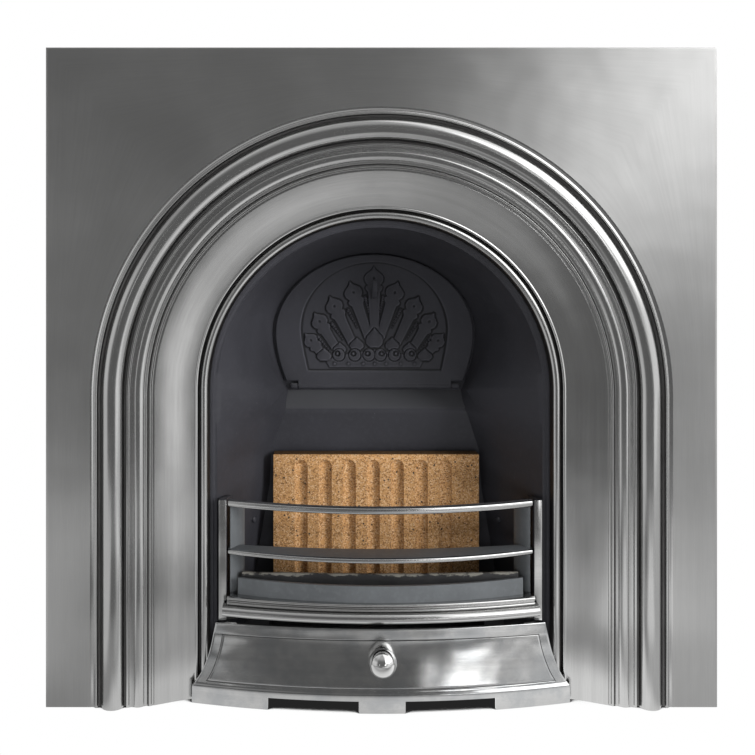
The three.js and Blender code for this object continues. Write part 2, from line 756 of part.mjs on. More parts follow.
// The tab that the poker hooks, with its shank through the flap and peened over behind.
function damperHandle() {
  const front = -GAP - DAMPER_THICKNESS;
  const { z, halfWidth, reach, length } = HANDLE;
  const profile = outlineShape([
    [front - GAP, z - 7], [front - GAP, z + 7], [front - 9, z + 7], [front - reach + 5, z + 10],
    [front - reach + 3, z + length - 14], [front - reach - 1, z + length - 14],
    [front - reach - 2, z + 4], [front - 9, z - 7],
  ]);
  const blade = extruded(profile, 2 * halfWidth)
    .applyMatrix4(new THREE.Matrix4().makeBasis(
      new THREE.Vector3(0, 1, 0), new THREE.Vector3(0, 0, 1), new THREE.Vector3(1, 0, 0),
    ))
    .translate(-halfWidth, 0, 0);
  return leaning(joined(
    blade,
    rodAlongY(3, 0, z, front - 2, 1.5),
    rodAlongY(5, 0, z, 0.2, 2.4),
  ));
}

function damperPin(side) {
  const ends = endsOn(side, 107, LUG.outer + 1);
  return leaning(rodAlongX(DAMPER_PIN_RADIUS, DAMPER_PIN.depth, DAMPER_PIN.z, ...ends));
}

function damperLug(side) {
  const { inner, outer, radius } = LUG;
  const ends = endsOn(side, inner, outer);
  const eye = rodAlongX(radius, DAMPER_PIN.depth, DAMPER_PIN.z, ...ends, 16);
  const foot = block(...ends, DAMPER_PIN.depth, -GAP, DAMPER_PIN.z - radius, DAMPER_PIN.z + radius);
  const bore = rodAlongX(DAMPER_PIN_RADIUS + 0.4, DAMPER_PIN.depth, DAMPER_PIN.z, -160, 160);
  return leaning(cut(joined(eye, foot), bore));
}

function lugScrew(side) {
  const x = (side * (LUG.inner + LUG.outer)) / 2;
  return leaning(joined(
    rodAlongY(2.2, x, DAMPER_PIN.z, 0, 8.8, 8),
    rodAlongY(4.2, x, DAMPER_PIN.z, 8.3, 11, 8),
  ));
}

// ---------------------------------------------------------------- ashpan cover

function coverPoint({ z, half, end, middle }, u, behind) {
  const bow = end - middle;
  return new THREE.Vector3(u * half, end - bow * (1 - u * u) + behind, z);
}

function ashpanCover() {
  const loop = [
    ...COVER_FACE.map((level) => [level, 0]),
    ...COVER_FACE.toReversed().map((level) => [level, COVER_THICKNESS]),
  ];
  const rings = [];
  for (let step = 0; step <= COVER_BOW_STEPS; step += 1) {
    const u = (2 * step) / COVER_BOW_STEPS - 1;
    rings.push(loop.map(([level, behind]) => coverPoint(level, u, behind)));
  }
  const shell = skin(rings, loop.map(([level, behind]) => new THREE.Vector2(level.end + behind, level.z)));
  const slots = [-1, 1].map((side) => {
    const ends = endsOn(side, COVER_SLOT.inner, COVER_SLOT.outer);
    return block(...ends, -60, 60, -5, COVER_SLOT.height);
  });
  return cut(shell, ...slots, rodAlongY(3.6, 0, KNOB.z, -20, 20));
}

function coverKnob() {
  const { radius, depth, z } = KNOB;
  const neck = 8;
  const seat = -4.6; // just clear of the cover's face at the middle
  const start = Math.asin(neck / radius);
  const profile = [new THREE.Vector2(0, 0), new THREE.Vector2(11, 0), new THREE.Vector2(11, 1.6)];
  profile.push(new THREE.Vector2(neck, 2.6));
  const steps = 10;
  const centre = seat - depth;
  for (let i = 0; i <= steps; i += 1) {
    const angle = lerp(start, Math.PI, i / steps);
    profile.push(new THREE.Vector2(radius * Math.sin(angle), centre - radius * Math.cos(angle)));
  }
  profile[profile.length - 1].x = 0;
  const body = new THREE.LatheGeometry(profile, 20).rotateX(Math.PI).translate(0, 0, 0);
  const placed = body.translate(0, seat, z);
  return cut(placed, rodAlongY(3.3, 0, z, -22, 4));
}

function coverKnobScrew() {
  return joined(
    rodAlongY(3, 0, KNOB.z, -20, 6),
    rodAlongY(6, 0, KNOB.z, 5.2, 9),
  );
}

// ---------------------------------------------------------------- ash pan

function ashPan() {
  const { half, front, back, height, wall } = PAN;
  const outer = block(-half, half, front, back, 0, height);
  const inner = block(-half + wall, half - wall, front + wall, back - wall, wall, height + 5);
  return cut(outer, inner);
}

const PAN_RIVET_OFFSET = 10;

function panHandle() {
  const { half, front, bottom, top, strap } = PAN_HANDLE;
  const foot = PAN.front - GAP;
  const outline = [
    [-half - 16, foot], [-half - 16, foot - 2], [-half, foot - 2], [-half, front], [half, front],
    [half, foot - 2], [half + 16, foot - 2], [half + 16, foot], [half - strap, foot],
    [half - strap, front + strap], [-half + strap, front + strap], [-half + strap, foot],
  ];
  const holes = [-1, 1].map((side) => (
    rodAlongY(2.3, side * (half + PAN_RIVET_OFFSET), (bottom + top) / 2, foot - 6, foot + 4)
  ));
  return cut(upright(outline, bottom, top), ...holes);
}

function drilledPan() {
  const { half, bottom, top } = PAN_HANDLE;
  const holes = [-1, 1].map((side) => (
    rodAlongY(2.3, side * (half + PAN_RIVET_OFFSET), (bottom + top) / 2, PAN.front - 4, PAN.front + 5)
  ));
  return cut(ashPan(), ...holes);
}

function panRivet(side) {
  const { half, bottom, top } = PAN_HANDLE;
  const x = side * (half + PAN_RIVET_OFFSET);
  const z = (bottom + top) / 2;
  const foot = PAN.front - GAP - 2;
  return joined(
    rodAlongY(2, x, z, foot - 1, PAN.front + PAN.wall + 1, 8),
    rodAlongY(4, x, z, foot - 2, foot - GAP, 8),
    rodAlongY(3.6, x, z, PAN.front + PAN.wall + GAP, PAN.front + PAN.wall + 1.6, 8),
  );
}

// ---------------------------------------------------------------- wall cleats

function wallCleat(side) {
  const { z, height, outer, inner, thickness, front } = CLEAT;
  const riser = 436;
  const outline = [
    [outer, front], [outer, front + thickness], [riser + thickness, front + thickness],
    [riser + thickness, RIM_BACK], [inner, RIM_BACK], [inner, RIM_BACK - thickness],
    [riser, RIM_BACK - thickness], [riser, front],
  ].map(([x, y]) => [side * x, y]);
  return cut(
    upright(outline, z - height / 2, z + height / 2),
    rodAlongY(M8_HOLE_RADIUS, side * CLEAT_BOLT_X, z, 5, 40),
    rodAlongY(M8_HOLE_RADIUS, side * 419, z, 5, 40),
  );
}

function cleatBolt(side) {
  return flangeBolt(side * CLEAT_BOLT_X, CLEAT.z, 5, CLEAT.front + CLEAT.thickness + GAP);
}

// ---------------------------------------------------------------- assembly

const fireplace = new THREE.Group();
fireplace.name = 'arched_fireplace';

function place(name, geometry, material) {
  const shaded = geometry.index ? geometry.toNonIndexed() : geometry;
  shaded.computeVertexNormals();
  const mesh = new THREE.Mesh(shaded, material.clone());
  mesh.name = name;
  fireplace.add(mesh);
}

// A left and a right copy of one piece.
function placePair(name, make, material) {
  place(`${name}_left`, make(-1), material);
  place(`${name}_right`, make(1), material);
}

function placeNumbered(name, places, make, material) {
  places.forEach((at, i) => place(`${name}_${i + 1}`, make(at), material));
}

place('fascia_plate', fasciaPlate(), POLISHED_IRON);
placePair('wall_cleat', wallCleat, ZINC_STEEL);
placePair('cleat_bolt', cleatBolt, ZINC_STEEL);
place('firebox_casting', fireboxCasting(), BLACK_IRON);
placeNumbered('liner_bolt', linerBoltPlaces(), linerBolt, ZINC_STEEL);
placePair('cheek_bolt', cheekBolt, BLACK_IRON);
placePair('cheek_nut', cheekNut, ZINC_STEEL);
place('fire_brick', fireBrick(), FIRECLAY);
placePair('bar_post', barPost, POLISHED_IRON);
placeNumbered('bar_post_screw', postScrewPlaces(), postScrew, ZINC_STEEL);
place('front_bars', frontBars(), POLISHED_IRON);
place('bottom_grate', bottomGrate(), GRAPHITE_IRON);
place('damper_flap', damperFlap(), BLACK_IRON);
place('damper_handle', damperHandle(), BLACK_IRON);
placePair('damper_pin', damperPin, ZINC_STEEL);
placePair('damper_lug', damperLug, BLACK_IRON);
placePair('damper_lug_screw', lugScrew, ZINC_STEEL);
place('ashpan_cover', ashpanCover(), POLISHED_IRON);
place('cover_knob', coverKnob(), POLISHED_IRON);
place('cover_knob_screw', coverKnobScrew(), ZINC_STEEL);
place('ash_pan', drilledPan(), SHEET_STEEL);
place('ash_pan_handle', panHandle(), SHEET_STEEL);
placePair('ash_pan_rivet', panRivet, SHEET_STEEL);

// The origin lies on the hearth, under the middle of the fireplace from knob to damper seat.
const bounds = new THREE.Box3().setFromObject(fireplace);
fireplace.position.y = -(bounds.min.y + bounds.max.y) / 2;

export default fireplace;
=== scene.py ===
"""An arched cast iron fireplace insert: polished face, black firebox, damper with a fan in
relief, fluted fire brick, bowed front bars, bottom grate, ash pan and ashpan cover."""

import math

import bmesh
import bpy
import numpy as np
from bpy.props import FloatProperty, FloatVectorProperty, IntProperty, PointerProperty
from bpy.types import Operator, Panel, PropertyGroup
from mathutils import Matrix, Vector


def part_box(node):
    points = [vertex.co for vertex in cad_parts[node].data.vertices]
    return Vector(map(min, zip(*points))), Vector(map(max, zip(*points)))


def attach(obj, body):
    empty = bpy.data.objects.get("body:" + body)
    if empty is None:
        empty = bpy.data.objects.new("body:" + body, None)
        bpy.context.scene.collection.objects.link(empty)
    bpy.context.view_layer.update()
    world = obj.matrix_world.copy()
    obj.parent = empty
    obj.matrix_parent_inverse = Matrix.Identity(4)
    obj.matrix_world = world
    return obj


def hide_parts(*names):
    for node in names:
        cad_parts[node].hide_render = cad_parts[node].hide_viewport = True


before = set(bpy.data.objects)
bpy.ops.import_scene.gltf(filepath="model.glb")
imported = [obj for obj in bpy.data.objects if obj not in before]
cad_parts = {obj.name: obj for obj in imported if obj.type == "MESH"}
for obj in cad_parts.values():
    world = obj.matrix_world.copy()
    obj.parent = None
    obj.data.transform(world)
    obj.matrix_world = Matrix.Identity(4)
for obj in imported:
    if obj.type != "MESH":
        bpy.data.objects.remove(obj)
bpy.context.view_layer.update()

bl_info = {
    "name": "Arched cast iron fireplace",
    "version": (1, 0, 0),
    "blender": (4, 5, 0),
    "location": "3D View > Sidebar > Fireplace",
    "description": "Builds an arched cast iron fireplace insert over its packed solids",
    "category": "Add Mesh",
}

# Pieces are drawn in millimetres: x to the right, depth behind the plate's face, height.
MM = 0.001
POST_FRONT = 30
FACE_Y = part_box("bar_post_left")[0].y - POST_FRONT * MM

PLATE_HALF = 482.5
PLATE_TOP = 948.0
RIM_BACK = 24.0
RIM_WIDTH = 7.0
SPRING = 444.0
STILT = 6.0
GROOVE_RADIUS = 419.0
BAND_RADIUS = 327.6
BEAD_RADIUS = 264.6
LINER_RADIUS = 242.0
LINER_FRONT = 44.3
WALL = 7.0

# Turned profiles of the bosses on the plate's back, each (radius, distance in front).
LINER_BOSS = ((0, -43.9), (10.4, -43.9), (11, -43.3), (11, -30), (0, -30))
CLEAT_BOSS = ((0, -14), (10.4, -14), (11, -13.4), (11, -6), (0, -6))
CLEAT_BOLTS = ((-454, 800), (454, 800))

# Height, half width and depth of each level of the firebox's back.
BACK_LEVELS = np.array([
    (0, 219, 182), (70, 207, 182), (140, 195, 182), (210, 183, 182), (279, 171, 182),
    (335, 168, 182), (404, 143, 165), (432, 143, 205),
], float)

LEAN = math.radians(8)
SEAT_DEPTH = 205.0
SEAT_HEIGHT = 432.0
FLAP_FOOT = 140.0
FLAP_HALF = 165.0
FLAP_WAIST = 94.0
FLAP_CROWN = 132.0


# ------------------------------------------------------------------ node trees

class Recipe:
    """Adds nodes to a tree, with values and links given by socket name or number."""

    def __init__(self, tree):
        self.tree = tree

    def add(self, kind, inputs=None, **settings):
        made = self.tree.nodes.new(kind)
        for key, value in settings.items():
            setattr(made, key, value)
        for key, value in (inputs or {}).items():
            if isinstance(value, bpy.types.NodeSocket):
                self.tree.links.new(value, made.inputs[key])
            else:
                made.inputs[key].default_value = value
        return made

    def math(self, operation, *values, clamp=False):
        return self.add(
            "ShaderNodeMath", dict(enumerate(values)), operation=operation, use_clamp=clamp
        ).outputs[0]

    def times(self, first, second):
        return self.math("MULTIPLY", first, second)

    def plus(self, first, second):
        return self.math("ADD", first, second)

    def minus(self, first, second):
        return self.math("SUBTRACT", first, second)

    def point(self, x, y=0.0, z=0.0):
        """One vector out of three numbers."""
        return self.add("ShaderNodeCombineXYZ", {0: x, 1: y, 2: z}).outputs[0]

    def parts(self, vector):
        """The three numbers of a vector."""
        return self.add("ShaderNodeSeparateXYZ", {0: vector}).outputs

    def spread(self, value, low, high, to_low=0.0, to_high=1.0, shape="SMOOTHSTEP"):
        return self.add(
            "ShaderNodeMapRange",
            {"Value": value, "From Min": low, "From Max": high,
             "To Min": to_low, "To Max": to_high},
            interpolation_type=shape,
        ).outputs["Result"]

    def mix(self, factor, first, second):
        """A colour between the first and the second."""
        return self.add(
            "ShaderNodeMix", {0: factor, 6: first, 7: second}, data_type="RGBA"
        ).outputs[2]

    def rectangle(self, across, along, edges, softs):
        """1 between four edges and 0 outside, with a softness for each edge."""
        ways = ((across, 1), (across, -1), (along, 1), (along, -1))
        sides = [
            self.spread(value, edge - way * soft, edge + way * soft)
            for (value, way), edge, soft in zip(ways, edges, softs)
        ]
        return self.times(self.times(*sides[:2]), self.times(*sides[2:]))


class ShapeTree(Recipe):
    """A Geometry Nodes tree with named inputs."""

    def __init__(self, name):
        super().__init__(bpy.data.node_groups.new(name, "GeometryNodeTree"))
        for way in ("INPUT", "OUTPUT"):
            self.tree.interface.new_socket(
                "Geometry", in_out=way, socket_type="NodeSocketGeometry"
            )
        self.entry = self.tree.nodes.new("NodeGroupInput")
        self.exit = self.tree.nodes.new("NodeGroupOutput")

    def size(self, name, default, kind="NodeSocketFloat"):
        """A named input of the tree, with its default."""
        socket = self.tree.interface.new_socket(name, in_out="INPUT", socket_type=kind)
        if default is not None:
            socket.default_value = default
        return self.entry.outputs[name]

    def attribute(self, name):
        return self.add(
            "GeometryNodeInputNamedAttribute", {"Name": name}, data_type="FLOAT"
        ).outputs["Attribute"]

    def moved(self, place):
        """The points of the piece, each at its new place."""
        return self.add(
            "GeometryNodeSetPosition", {"Geometry": self.entry.outputs[0], "Position": place}
        ).outputs[0]

    def copies(self, points, thing, **more):
        """A copy of one thing on every point."""
        return self.add(
            "GeometryNodeInstanceOnPoints", {"Points": points, "Instance": thing, **more}
        ).outputs[0]

    def close(self, geometry, *materials):
        """Ends in Realize Instances and Set Material. A material may have its selection."""
        geometry = self.add("GeometryNodeRealizeInstances", {"Geometry": geometry}).outputs[0]
        for name, chosen in materials:
            material = self.size(name, None, "NodeSocketMaterial")
            inputs = {"Geometry": geometry, "Material": material}
            if chosen is not None:
                inputs["Selection"] = chosen
            geometry = self.add("GeometryNodeSetMaterial", inputs).outputs[0]
        self.tree.links.new(geometry, self.exit.inputs[0])
        return self.tree


def run_tree(piece, tree, **values):
    """Runs a shape tree on a piece, and leaves its result as the piece's plain mesh."""
    modifier = piece.modifiers.new(tree.name, "NODES")
    modifier.node_group = tree
    for item in tree.interface.items_tree:
        key = item.name.lower().replace(" ", "_")
        if item.in_out == "INPUT" and key in values:
            modifier[item.identifier] = values[key]
    return settled(piece)


def settled(piece):
    """Applies whatever modifiers a piece has."""
    bpy.context.view_layer.update()
    graph = bpy.context.evaluated_depsgraph_get()
    mesh = bpy.data.meshes.new_from_object(
        piece.evaluated_get(graph), preserve_all_data_layers=True, depsgraph=graph
    )
    piece.modifiers.clear()
    old = piece.data
    piece.data = mesh
    mesh.name = piece.name
    bpy.data.meshes.remove(old)
    return piece


# ------------------------------------------------------------------ mesh helpers

def placed(name, data):
    """A new object in the scene, over a mesh, a lamp or a camera."""
    made = bpy.data.objects.new(name, data)
    bpy.context.scene.collection.objects.link(made)
    return made


def shell(name, points, faces, angle, *finishes):
    """A closed piece from points in millimetres, smoothed and with its finishes."""
    return clad(smooth_finish(piece_from(name, points, faces), angle), *finishes)


def piece_from(name, points, faces, attributes=None, edges=()):
    """A new piece from points in millimetres (x, depth, height)."""
    places = np.asarray(points, float) * MM
    places[:, 1] += FACE_Y
    return piece_at(name, places, faces, attributes, edges)


def piece_at(name, places, faces, attributes=None, edges=()):
    """A new piece from points in metres, with a number for each point by attribute."""
    faces = [[int(corner) for corner in face] for face in faces]
    mesh = bpy.data.meshes.new(name)
    mesh.from_pydata(np.asarray(places, float).tolist(), edges, faces)
    for key, values in (attributes or {}).items():
        layer = mesh.attributes.new(key, "FLOAT", "POINT")
        layer.data.foreach_set("value", np.asarray(values, np.float32).ravel())
    return placed(name, mesh)


def lattice(rows, columns, loop=True):
    """Quads between the neighbouring rings of a rows by columns lattice of points."""
    row = np.arange(rows - 1)[:, None]
    column = np.arange(columns if loop else columns - 1)[None, :]
    after = (column + 1) % columns
    a = row * columns + column
    b = row * columns + after
    return np.stack([a, b, b + columns, a + columns], -1).reshape(-1, 4).tolist()


def capped(rows, columns):
    """Faces of a tube over a rows by columns lattice, closed at both ends."""
    last = (rows - 1) * columns
    return lattice(rows, columns) + [
        list(range(columns))[::-1], list(range(last, last + columns))
    ]


def ringed(points):
    """Points and faces of a skin over rings of the same corners, closed at both ends."""
    points = np.asarray(points, float)
    rows, columns, _ = points.shape
    return points.reshape(-1, 3), capped(rows, columns)


def levels_of(plan, heights):
    """Rings of one plan of (x, depth) at several heights."""
    return [[(x, depth, z) for x, depth in plan] for z in heights]


def smooth_finish(piece, angle=32):
    """Merges doubles, turns the faces outwards and smooths all but the sharp edges."""
    merge = 1e-6
    work = bmesh.new()
    work.from_mesh(piece.data)
    bmesh.ops.remove_doubles(work, verts=work.verts, dist=merge)
    bmesh.ops.dissolve_degenerate(work, edges=work.edges, dist=merge)
    bmesh.ops.recalc_face_normals(work, faces=work.faces)
    work.to_mesh(piece.data)
    work.free()
    piece.data.shade_smooth()
    piece.data.set_sharp_from_angle(angle=math.radians(angle))
    return piece


def joined_pieces(name, pieces):
    """One piece out of several, all of them closed shells."""
    with bpy.context.temp_override(active_object=pieces[0], selected_editable_objects=pieces):
        bpy.ops.object.join()
    pieces[0].name = name
    pieces[0].data.name = name
    return pieces[0]


def bevelled(piece, width):
    """Rounds a piece's sharp edges by a width in millimetres."""
    bevel = piece.modifiers.new("edges", "BEVEL")
    bevel.width = width * MM
    bevel.segments = 2
    bevel.limit_method = "ANGLE"
    bevel.angle_limit = math.radians(28)
    settled(piece)
    return smooth_finish(piece, 40)


def softened(node, name, width, finish):
    """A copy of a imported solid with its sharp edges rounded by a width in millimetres."""
    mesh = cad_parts[node].data.copy()
    piece = clad(placed(name, mesh), finish)
    work = bmesh.new()
    work.from_mesh(mesh)
    bmesh.ops.remove_doubles(work, verts=work.verts, dist=2e-6)
    bmesh.ops.dissolve_limit(
        work, angle_limit=math.radians(1.5), verts=work.verts, edges=work.edges
    )
    work.to_mesh(mesh)
    work.free()
    return bevelled(piece, width)


def hold(piece, body, slot, *nodes):
    """Sets a finished piece on its body, in place of the solids it stands for."""
    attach(piece, body)
    if nodes:
        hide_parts(*nodes)
    return piece


def rounded(corners, radius, steps=3, loop=False):
    """Rounds the corners of a profile. Values after the first two follow along."""
    corners = [np.array(c, float) for c in corners]
    count = len(corners)
    out = []
    for i, here in enumerate(corners):
        back, ahead = corners[i - 1] - here, corners[(i + 1) % count] - here
        near, far = np.hypot(*back[:2]), np.hypot(*ahead[:2])
        open_end = not loop and i in (0, count - 1)
        nearly_straight = np.dot(back[:2], ahead[:2]) < -0.93 * near * far
        if open_end or nearly_straight or min(near, far) < 1e-9:
            out.append(here)
            continue
        reach = min(radius, 0.42 * near, 0.42 * far)
        start, end = here + back * reach / near, here + ahead * reach / far
        for step in range(steps + 1):
            t = step / steps
            out.append((1 - t) ** 2 * start + 2 * t * (1 - t) * here + t * t * end)
    return np.array(out)


def rolled(start, end, rise, steps=14):
    """Points of a roll between two places of a profile, standing out by its rise."""
    turn = np.linspace(0, math.pi, steps + 1)
    along = (1 - np.cos(turn)) / 2
    points = np.outer(1 - along, start) + np.outer(along, end)
    points[:, 1] -= rise * np.sin(turn)
    return points.tolist()


def lathe(profile, sides, centre):
    """A turned shape: profile of (radius, distance in front), round a centre along depth."""
    turn = np.linspace(0, 2 * math.pi, sides, endpoint=False)
    points = []
    for radius, ahead in profile:
        ring = np.stack([
            centre[0] + radius * np.cos(turn),
            np.full(sides, centre[1] - ahead),
            centre[2] + radius * np.sin(turn),
        ], -1)
        points.append(ring)
    return ringed(points)


# ------------------------------------------------------------------ settings

def measure(name, text, default):
    """A setting in metres."""
    return FloatProperty(name=name, description=text, default=default, unit="LENGTH")


def tally(name, text, default, least, most):
    """A setting that counts something."""
    return IntProperty(name=name, description=text, default=default, min=least, max=most)


def pigment(name, text, default):
    """A colour setting."""
    return FloatVectorProperty(
        name=name, description=text, subtype="COLOR", default=default, min=0, max=1
    )


class FaceSizes(PropertyGroup):
    """Sizes of the polished face."""

    spring_height: measure(
        "Spring Height", "Height at which the mouldings turn into the arch", SPRING * MM
    )
    stilt: measure("Stilt", "How much higher the inner bead springs", STILT * MM)
    arch_steps: tally("Arch Steps", "Facets round the arch", 168, 24, 300)
    edge_round: measure("Edge Round", "Radius of the moulding's small edges", 0.0006)


class FanSizes(PropertyGroup):
    """Sizes of the fan in relief on the damper."""

    bead_count: tally("Bead Count", "Beads in each row between two leaves", 7, 2, 12)
    largest_bead: measure("Largest Bead", "Radius of the top bead", 0.0027)
    smallest_bead: measure("Smallest Bead", "Radius of the bottom bead", 0.0013)
    relief: measure("Relief", "How far the leaves stand out of the sunk panel", 0.0031)


class BrickSizes(PropertyGroup):
    """Sizes of the fire brick's flutes."""

    flute_count: tally("Flute Count", "Flutes down the brick's face", 7, 1, 12)
    flute_pitch: measure("Flute Pitch", "From one flute to the next", 0.0385)
    flute_shift: measure(
        "Flute Shift", "How far the cutter sits to the right of each flute", -0.00475
    )
    flute_width: measure("Flute Width", "Width of a flute", 0.021)
    flute_depth: measure("Flute Depth", "Depth of a flute", 0.007)


class GrateSizes(PropertyGroup):
    """Sizes of the bottom grate's air slots."""

    slot_count: tally("Slot Count", "Slots through the bed", 15, 1, 30)
    slot_pitch: measure("Slot Pitch", "From one slot to the next", 0.026)
    slot_width: measure("Slot Width", "Width of a slot", 0.011)


class FinishColours(PropertyGroup):
    """Colours of the fireplace's finishes."""

    iron: pigment("Polished Iron", "Polished cast iron", (0.56, 0.56, 0.555))
    black: pigment("Black Paint", "Heatproof paint of the firebox", (0.031, 0.0312, 0.037))
    grey: pigment("Grey Paint", "Paint on the bars' unpolished parts", (0.094, 0.101, 0.107))
    raw: pigment("Raw Casting", "Unpainted iron at the back", (0.12, 0.117, 0.113))
    clay: pigment("Fireclay", "Fired clay of the brick", (0.50, 0.275, 0.115))
    floor: pigment("Floor", "The floor of the stage", (0.82, 0.82, 0.815))


class StageSizes(PropertyGroup):
    """Camera and lamps."""

    camera_distance: measure("Camera Distance", "From the plate's face to the camera", 1.3)
    camera_side: measure(
        "Camera Side", "How far the camera stands to the right of the middle", -0.074
    )
    camera_height: measure("Camera Height", "Height of the camera", 0.6093)
    lamp_strength: FloatProperty(
        name="Lamp Strength", description="Power that the lamps share", default=88.0,
        subtype="POWER",
    )


# ------------------------------------------------------------------ finishes

def rgba(colour, factor=1.0):
    """A colour with its alpha, made lighter or darker by a factor."""
    return (*(min(1.0, c * factor) for c in colour), 1.0)


class Finish(Recipe):
    """A material, built up from a first colour by coats and bumps over one another."""

    def __init__(self, name):
        self.material = bpy.data.materials.new(name)
        self.material.use_nodes = True
        super().__init__(self.material.node_tree)
        self.shader = self.tree.nodes["Principled BSDF"]
        self.place = self.add("ShaderNodeTexCoord").outputs["Object"]
        self.tint = self.normal = None

    def attribute(self, name):
        return self.add("ShaderNodeAttribute", attribute_name=name).outputs["Fac"]

    def facing_up(self):
        """How far the surface faces upwards, from -1 to 1."""
        return self.parts(self.add("ShaderNodeNewGeometry").outputs["Normal"])[2]

    def stretched(self, scale):
        return self.add(
            "ShaderNodeMapping", {"Vector": self.place, "Scale": scale}
        ).outputs[0]

    def noise(self, scale, detail=2.0, roughness=0.5, place=None):
        return self.add("ShaderNodeTexNoise", {
            "Vector": place or self.place, "Scale": scale,
            "Detail": detail, "Roughness": roughness,
        }).outputs["Fac"]

    def cells(self, scale):
        return self.add(
            "ShaderNodeTexVoronoi", {"Vector": self.place, "Scale": scale}
        ).outputs

    def mottled(self, cloud, colour, dark, pale, low=0.3, high=0.7):
        """The first colour, in clouds of a darker and a paler shade."""
        self.tint = self.mix(self.spread(cloud, low, high), rgba(colour, dark), rgba(colour, pale))

    def coat(self, amount, colour, factor=1.0):
        """Lays one more colour over what is there, by an amount from 0 to 1."""
        self.tint = self.mix(amount, self.tint, rgba(colour, factor))

    def bump(self, height, strength, distance):
        """Raises and sinks the surface once more, by a distance in metres."""
        inputs = {"Height": height, "Strength": strength, "Distance": distance}
        if self.normal is not None:
            inputs["Normal"] = self.normal
        self.normal = self.add("ShaderNodeBump", inputs).outputs[0]

    def shade(self, **inputs):
        """Sets the shader's own inputs."""
        for key, value in inputs.items():
            socket = self.shader.inputs[key.replace("_", " ")]
            if isinstance(value, bpy.types.NodeSocket):
                self.tree.links.new(value, socket)
            else:
                socket.default_value = value

    def done(self, **inputs):
        """The material, with its colour and bumps."""
        self.shade(Base_Color=self.tint, Normal=self.normal, **inputs)
        return self.material


def polished_iron(
    name, colour, roughness, grain, along=None, recess=None, brushed=0.0, waves=0.0016,
    blotches=0.0, streaks=0.35,
):
    """Ground and polished iron: fine grain, uneven polish, and painted shade in the recesses.

    The grain follows two attributes of the piece if along names them, and recess names the one
    that says how deep a place lies. brushed draws highlights out away from the arch's middle.
    """
    finish = Finish(name)
    if brushed:
        x, _, z = finish.parts(finish.place)
        rise = finish.math("MAXIMUM", finish.minus(z, SPRING * MM), 0.0)
        finish.shade(Anisotropic=brushed, Tangent=finish.point(x, 0.0, rise))
    if along is None:
        lines, bands = finish.stretched((40, 40, 1100)), finish.stretched((4, 4, 90))
    else:
        run, girth = (finish.attribute(key) for key in along)
        lines, bands = (
            finish.point(finish.times(run, near), finish.times(girth, across))
            for near, across in ((20, 800), (1.6, 75))
        )
    grain_lines = finish.noise(1.0, 3.0, 0.6, lines)
    streak = finish.noise(1.0, 4.0, 0.6, bands)
    cloud = finish.noise(9.0, 4.0, 0.55)
    swell = finish.noise(17.0, 1.0)
    speck = finish.spread(finish.cells(420)["Distance"], 0.02, 0.09, 1.0, 0.0)
    rare = finish.spread(finish.noise(160, 1.0), 0.66, 0.72)
    pits = finish.times(speck, rare)
    finish.mottled(cloud, colour, 0.95, 1.03, 0.35)
    finish.coat(finish.spread(grain_lines, 0.3, 0.75, 0.0, 0.3), colour, 0.8)
    finish.coat(finish.spread(streak, 0.35, 0.72, 0.0, streaks), colour, 0.72)
    finish.coat(finish.times(pits, 0.6), (0.1, 0.095, 0.09))
    if blotches:
        patch = finish.spread(finish.noise(26.0, 5.0, 0.62), 0.36, 0.66, 0.0, blotches)
        finish.coat(patch, [c * share for c, share in zip(colour, (0.52, 0.56, 0.6))])
    rough = finish.spread(
        finish.math("MULTIPLY_ADD", grain_lines, 0.5, cloud),
        0.45, 1.1, roughness * 0.92, roughness * 1.1,
    )
    # Painted shade: darker where the piece lies in a recess, and rougher there too.
    if recess:
        uneven = finish.minus(cloud, 0.5)
        ragged = finish.math("MULTIPLY_ADD", uneven, 0.35, finish.attribute(recess))
        painted_recess_shade = finish.spread(ragged, 0.12, 0.95)
        finish.coat(finish.times(painted_recess_shade, 0.93), (0.045, 0.043, 0.042))
        rough = finish.math("ADD", rough, finish.times(painted_recess_shade, 0.35), clamp=True)
    finish.bump(swell, 0.5, waves)
    finish.bump(grain_lines, grain, 0.00025)
    finish.bump(finish.minus(1.0, pits), 0.3, 0.0003)
    return finish.done(Metallic=1.0, Roughness=rough)


def black_paint(name, colour, roughness=0.6, relief=False, settled_dust=0.75):
    """Matt heatproof paint over sand-cast iron, with specks, and dust on what faces up. With
    relief, it has painted shade in the hollows and a painted highlight on what stands proud.
    """
    finish = Finish(name)
    cloud = finish.noise(6.0, 5.0, 0.6)
    sand = finish.noise(900, 3.0, 0.6)
    coarse = finish.noise(130, 3.0, 0.5)
    specks = finish.times(
        finish.spread(finish.cells(150)["Distance"], 0.03, 0.10, 1.0, 0.0),
        finish.spread(finish.noise(40, 2.0), 0.6, 0.66),
    )
    finish.mottled(cloud, colour, 0.82, 1.2, high=0.72)
    finish.coat(finish.spread(coarse, 0.45, 0.75, 0.0, 0.35), colour, 1.35)
    finish.coat(finish.times(specks, 0.35), (0.32, 0.32, 0.33))
    # On the fan: a painted highlight on what stands proud, and painted shade in the hollows.
    if relief:
        finish.coat(finish.attribute("worn"), colour, 2.1)
        finish.coat(finish.attribute("hollow"), colour, 0.22)
    dust = finish.spread(finish.facing_up(), 0.45, 0.8, 0.0, settled_dust)
    finish.coat(dust, (0.085, 0.086, 0.092))
    rough = finish.spread(cloud, 0.3, 0.7, roughness - 0.08, roughness + 0.1)
    finish.bump(sand, 0.25, 0.0004)
    finish.bump(coarse, 0.18, 0.0012)
    return finish.done(Metallic=0.0, Roughness=rough, Specular_IOR_Level=0.42)


